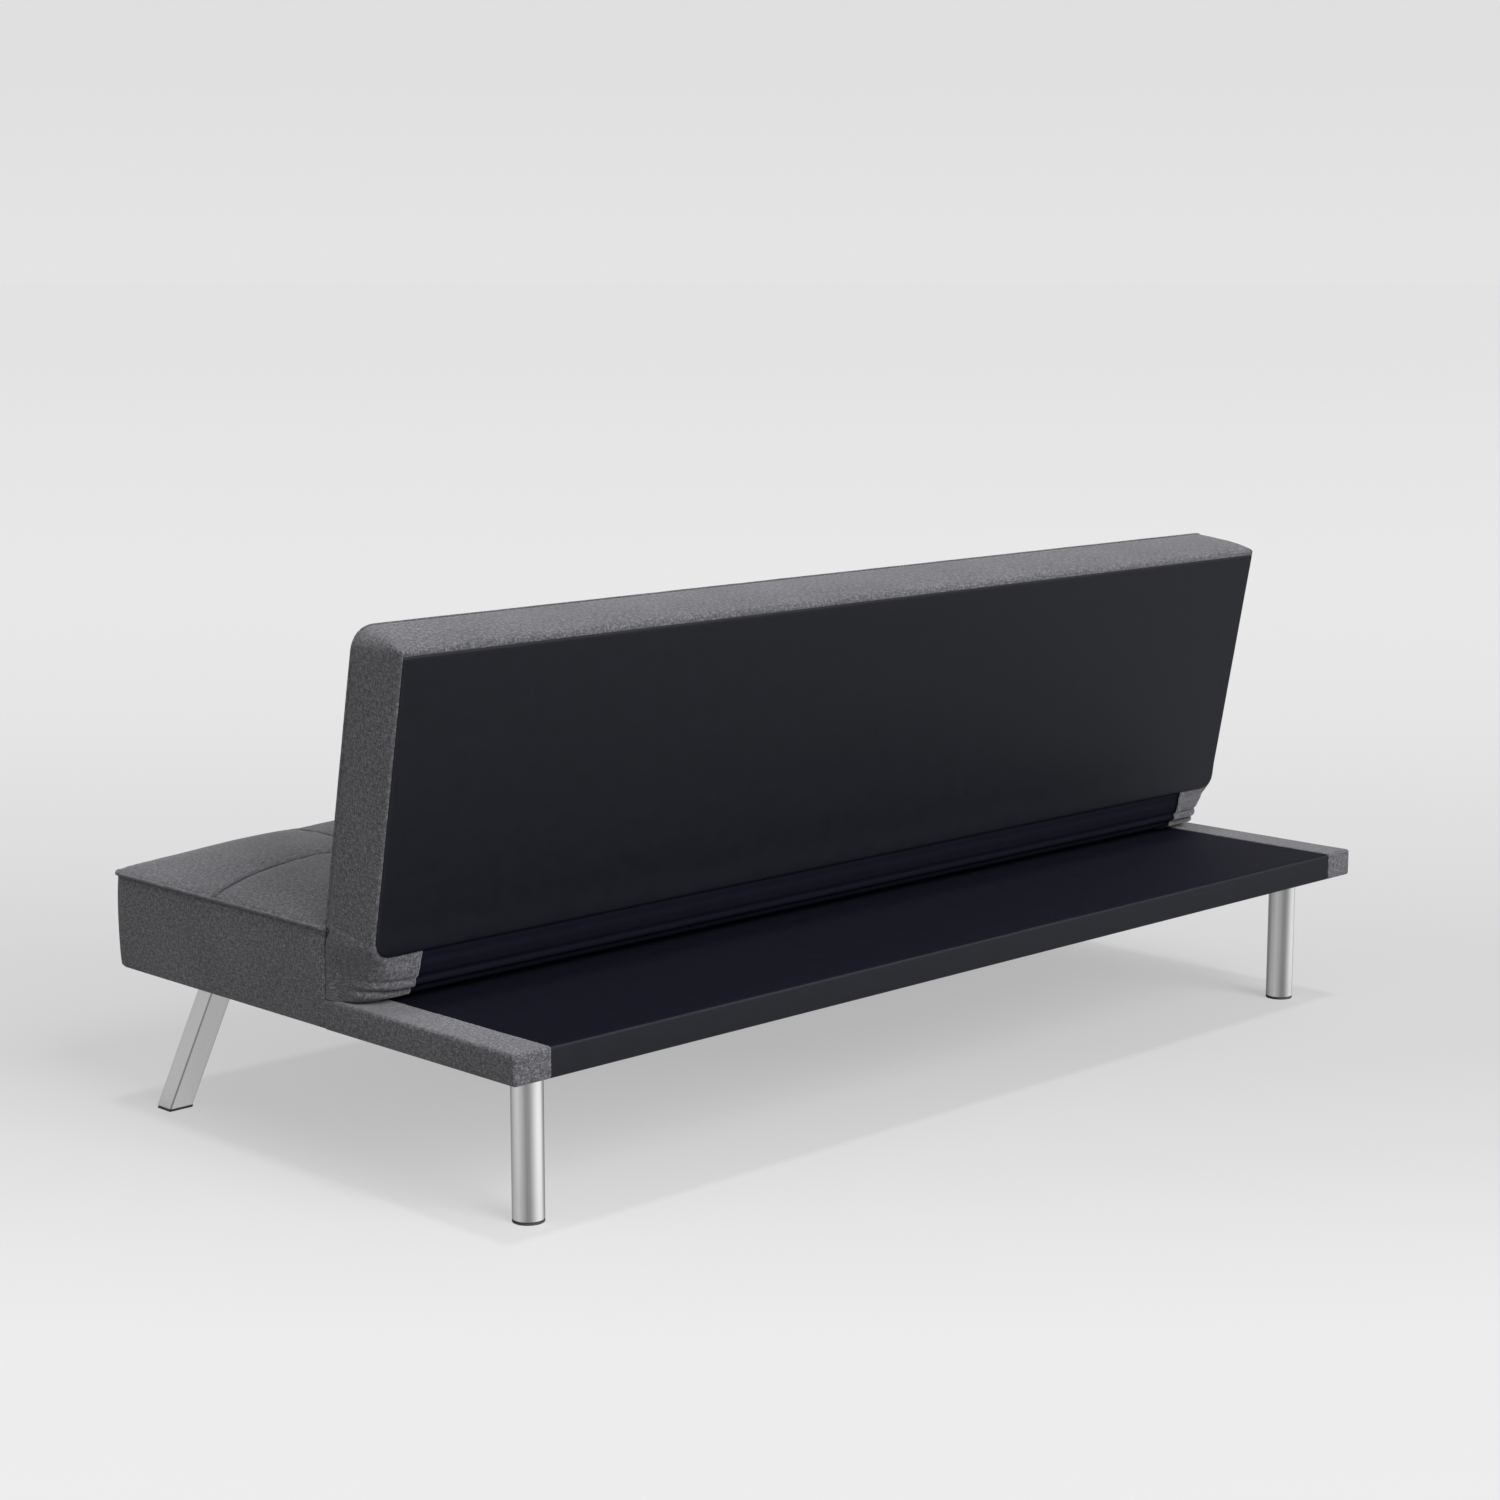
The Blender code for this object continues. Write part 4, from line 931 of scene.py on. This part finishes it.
def make_rear_leg(label):
    node = "rear_leg_" + label
    low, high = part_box(node)
    centre = (low + high) / 2
    turn = np.linspace(0, 2 * math.pi, 96, endpoint=False)
    rings = [joined(centre.x + r * np.cos(turn), centre.y + r * np.sin(turn), low.z + z)
             for r, z in TUBE_PROFILE]
    leg = lofted("leg_rear_" + label, rings)
    around = (np.degrees(turn) - 45.0 + 180.0) % 360.0 - 180.0
    # painted reflection round the tube: bright streaks and dark bands by angle
    mark(leg, np.tile(np.interp(around, *zip(*TUBE_PAINTED_REFLECTION)), len(rings)), "painted_reflection")
    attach(leg, "base")
    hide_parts(node)
    plate(label, "rear", centre.x, centre.y, high.z)


def plate(label, where, x, y, top):
    """The plate on a leg's top end, with softly rounded corners."""
    half, thickness = 0.030, 0.003
    points, faces = soft_box((x - half, y - half, top - thickness), (x + half, y + half, top), 0.0009, 0.02)
    made = mesh_piece("plate_%s_%s" % (where, label), points, faces, PLATE)
    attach(made, "base")
    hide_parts("%s_leg_%s" % (where, label))


def make_front_leg(label, sign):
    node = "front_leg_" + label
    low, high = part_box(node)
    pad_low, pad_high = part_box("front_foot_pad_" + label)
    foot, pad = (pad_low + pad_high) / 2, pad_high - pad_low
    half_x, half_y = pad.x / 2 - 0.0003, pad.y / 2 - 0.0003
    radius, steps = 0.0022, 6
    # section, and at each point how dark the painted reflection along the rounded edges is and how light the
    # painted reflection on each face
    outline, edge_painted_dark, face_painted_reflection = [], [], []
    for cx, cy, first in ((1, 1, 0), (-1, 1, 90), (-1, -1, 180), (1, -1, 270)):
        for k in range(steps + 1):
            a = math.radians(first + 90 * k / steps)
            outline.append((cx * (half_x - radius) + radius * math.cos(a),
                            cy * (half_y - radius) + radius * math.sin(a)))
            edge_painted_dark.append(0.85 if 0 < k < steps else 0.30)
            face_painted_reflection.append(0.74 if abs(math.cos(a)) > 0.7071 else 0.98)
    outline = np.array(outline)

    def axis(rise):
        return foot.x + sign * FRONT_SLOPE[0] * rise, foot.y + FRONT_SLOPE[1] * rise

    rings = []
    for z, shrink in ((0.0, 0.0008), (0.0006, 0.0002), (0.0020, 0), (0.05, 0), (0.1, 0), (0.15, 0),
                      (0.1866, 0)):
        at = outline * (1 - shrink / 0.015) + axis(low.z + z - FOOT)
        rings.append(joined(*at.T, low.z + z))
    leg = lofted("leg_front_" + label, rings)
    # painted dark reflection along the rounded edges
    mark(leg, edge_painted_dark * len(rings))
    # painted reflection: lighter on the faces towards +Y and -Y, darker on those towards +X and -X
    mark(leg, face_painted_reflection * len(rings), "painted_reflection")
    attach(leg, "base")
    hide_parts(node)
    plate(label, "front", *axis(0.185), high.z)


for side_name, side_sign in SIDES:
    make_rear_leg(side_name)
    make_front_leg(side_name, side_sign)


# ---- underside lining ----
def make_underside():
    """Dust cover with a turned hem, stapled under the frame; it sags a little between its rails."""
    low, high = (np.array(v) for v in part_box("bottom_lining"))
    low, high = low + (0.004, 0.020, 0), high - (0.004, 0.006, 0)
    low[2], high[2] = UNDERSIDE + 0.0001, UNDERSIDE + 0.0012
    points, faces = soft_box(low, high, 0.0005, 0.016)
    edge = np.minimum(points - low, high - points)[:, :2].min(axis=1)
    hem = 0.0007 * smoothstep(0.020, 0.018, edge) * smoothstep(0.0, 0.002, edge)
    sag = 0.0010 * ripple(points[:, 0], points[:, 1], 71, 0.18) * smoothstep(0.03, 0.10, edge)
    points[:, 2] -= np.where(points[:, 2] < (low[2] + high[2]) / 2, hem, 0) - np.maximum(sag, 0) * 0.5
    made = mesh_piece("underside_lining", points, faces, DECK_BLACK)
    fabric_coordinates(made)
    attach(made, "base")
    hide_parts("bottom_lining")
    # staples along the hem, each lying along its edge
    inset, spacing, long, wide = 0.010, 0.055, 0.0050, 0.0006
    spots = [(x, y, (long, wide)) for y in (low[1] + inset, high[1] - inset)
             for x in np.arange(low[0] + 0.03, high[0] - 0.02, spacing)]
    spots += [(x, y, (wide, long)) for x in (low[0] + inset, high[0] - inset)
              for y in np.arange(low[1] + 0.05, high[1] - 0.04, spacing)]
    points, faces = [], []
    for x, y, size in spots:
        p, f = soft_box((x - size[0], y - size[1], low[2] - 0.0013),
                        (x + size[0], y + size[1], low[2] - 0.0004), 0.0004, 0.01)
        faces += [tuple(k + len(points) for k in face) for face in f]
        points += p.tolist()
    staples = mesh_piece("underside_staples", points, faces, ZINC)
    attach(staples, "base")
    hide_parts("bottom_lining")


make_underside()


# ---- floor, light and camera ----
REACH = 250.0   # half the floor's width
# the floor's painted light: its glow, by distance from the camera along a fixed line, so that it stands for a
# sweep with painted shade in a darker belt where it starts to rise
SWEEP_WAY, SWEEP_START, SWEEP_NEAR = (-0.7025, -0.7117), 4.165, 2.6
SWEEP = ((260.0, 0.488), (29.0, 0.497), (15.6, 0.526), (10.6, 0.544),
         (8.1, 0.538), (6.5, 0.504), (5.5, 0.466), (4.7, 0.430), (4.15, 0.440),
         (3.7, 0.492), (3.3, 0.561), (3.0, 0.594), (2.6, 0.602))
LIGHT_TINT = (0.965, 0.955, 1.0)


def make_stage():
    mesh = bpy.data.meshes.new("floor")
    corners = [(x * REACH, y * REACH, 0) for x, y in ((-1, -1), (1, -1), (1, 1), (-1, 1))]
    mesh.from_pydata(corners, [], [(0, 1, 2, 3)])
    paint = new_material("floor_painted_light")
    paint.set(Base_Color=(0.085, 0.085, 0.085, 1.0), Roughness=0.9, Specular_IOR_Level=0.1,
              Emission_Color=(1.0, 1.0, 1.0, 1.0))
    spot = paint.add("SeparateXYZ", {"Vector": paint.in_space(1, 1, 1)})
    along = paint.total((spot["X"], SWEEP_WAY[0]), (spot["Y"], SWEEP_WAY[1]), plus=SWEEP_START)
    share = paint.math("DIVIDE", SWEEP_NEAR, paint.math("MAXIMUM", along, SWEEP_NEAR))
    # painted light and shade: the floor's glow follows the sweep's ramp, darker in its belt
    glow = paint.ramp(share, *((SWEEP_NEAR / far, (value,) * 3) for far, value in SWEEP))
    paint.set(Emission_Strength=paint.add("RGBToBW", {"Color": glow})["Val"])
    mesh.materials.append(paint.owner)
    linked("floor", mesh)
    # well above the horizon, the room is brighter behind the object and to its left
    room = Nodes(bpy.data.worlds.new("studio"))
    way = room.add("TexCoord", {})["Generated"]
    height = room.add("SeparateXYZ", {"Vector": way})["Z"]
    toward = room.add("VectorMath", {0: way, 1: (0.64, 0.77, 0.0)}, operation="DOT_PRODUCT")["Value"]
    shares = [room.add("MapRange", {"Value": value, "From Min": low, "From Max": high})["Result"]
              for value, low, high in ((toward, -0.2, 0.8), (height, 0.10, 0.45))]
    room.set(Color=room.ramp(height, (0.0, (0.776,) * 3), (0.06, (0.745,) * 3)),
             Strength=room.total((room.math("MULTIPLY", *shares), 0.85), plus=1.0))
    bpy.context.scene.world = room.owner
    for name, energy, spread, tilt in (("overhead", 2.5, 6, -5), ("rear", 6.7, 36, -56)):
        data = bpy.data.lights.new(name, "SUN")
        data.energy, data.angle, data.color = energy, math.radians(spread), LIGHT_TINT
        linked(name, data).rotation_euler = (math.radians(tilt), 0, 0)


def make_camera():
    """The photo's place and angle, solved from the deck's corners and the feet."""
    data = bpy.data.cameras.new("camera")
    data.sensor_width, data.lens, data.clip_end = 36.0, 70.8, 100.0
    camera = linked("camera", data)
    forward = Vector((-0.69262, -0.70160, -0.16744)).normalized()
    right = forward.cross(Vector((0, 0, 1))).normalized()
    turn = Matrix((right, right.cross(forward), -forward)).transposed()
    camera.matrix_world = Matrix.Translation((2.951, 2.940, 1.145)) @ turn.to_4x4()
    bpy.context.scene.camera = camera


make_stage()
make_camera()
bpy.context.scene.view_settings.view_transform = "Standard"
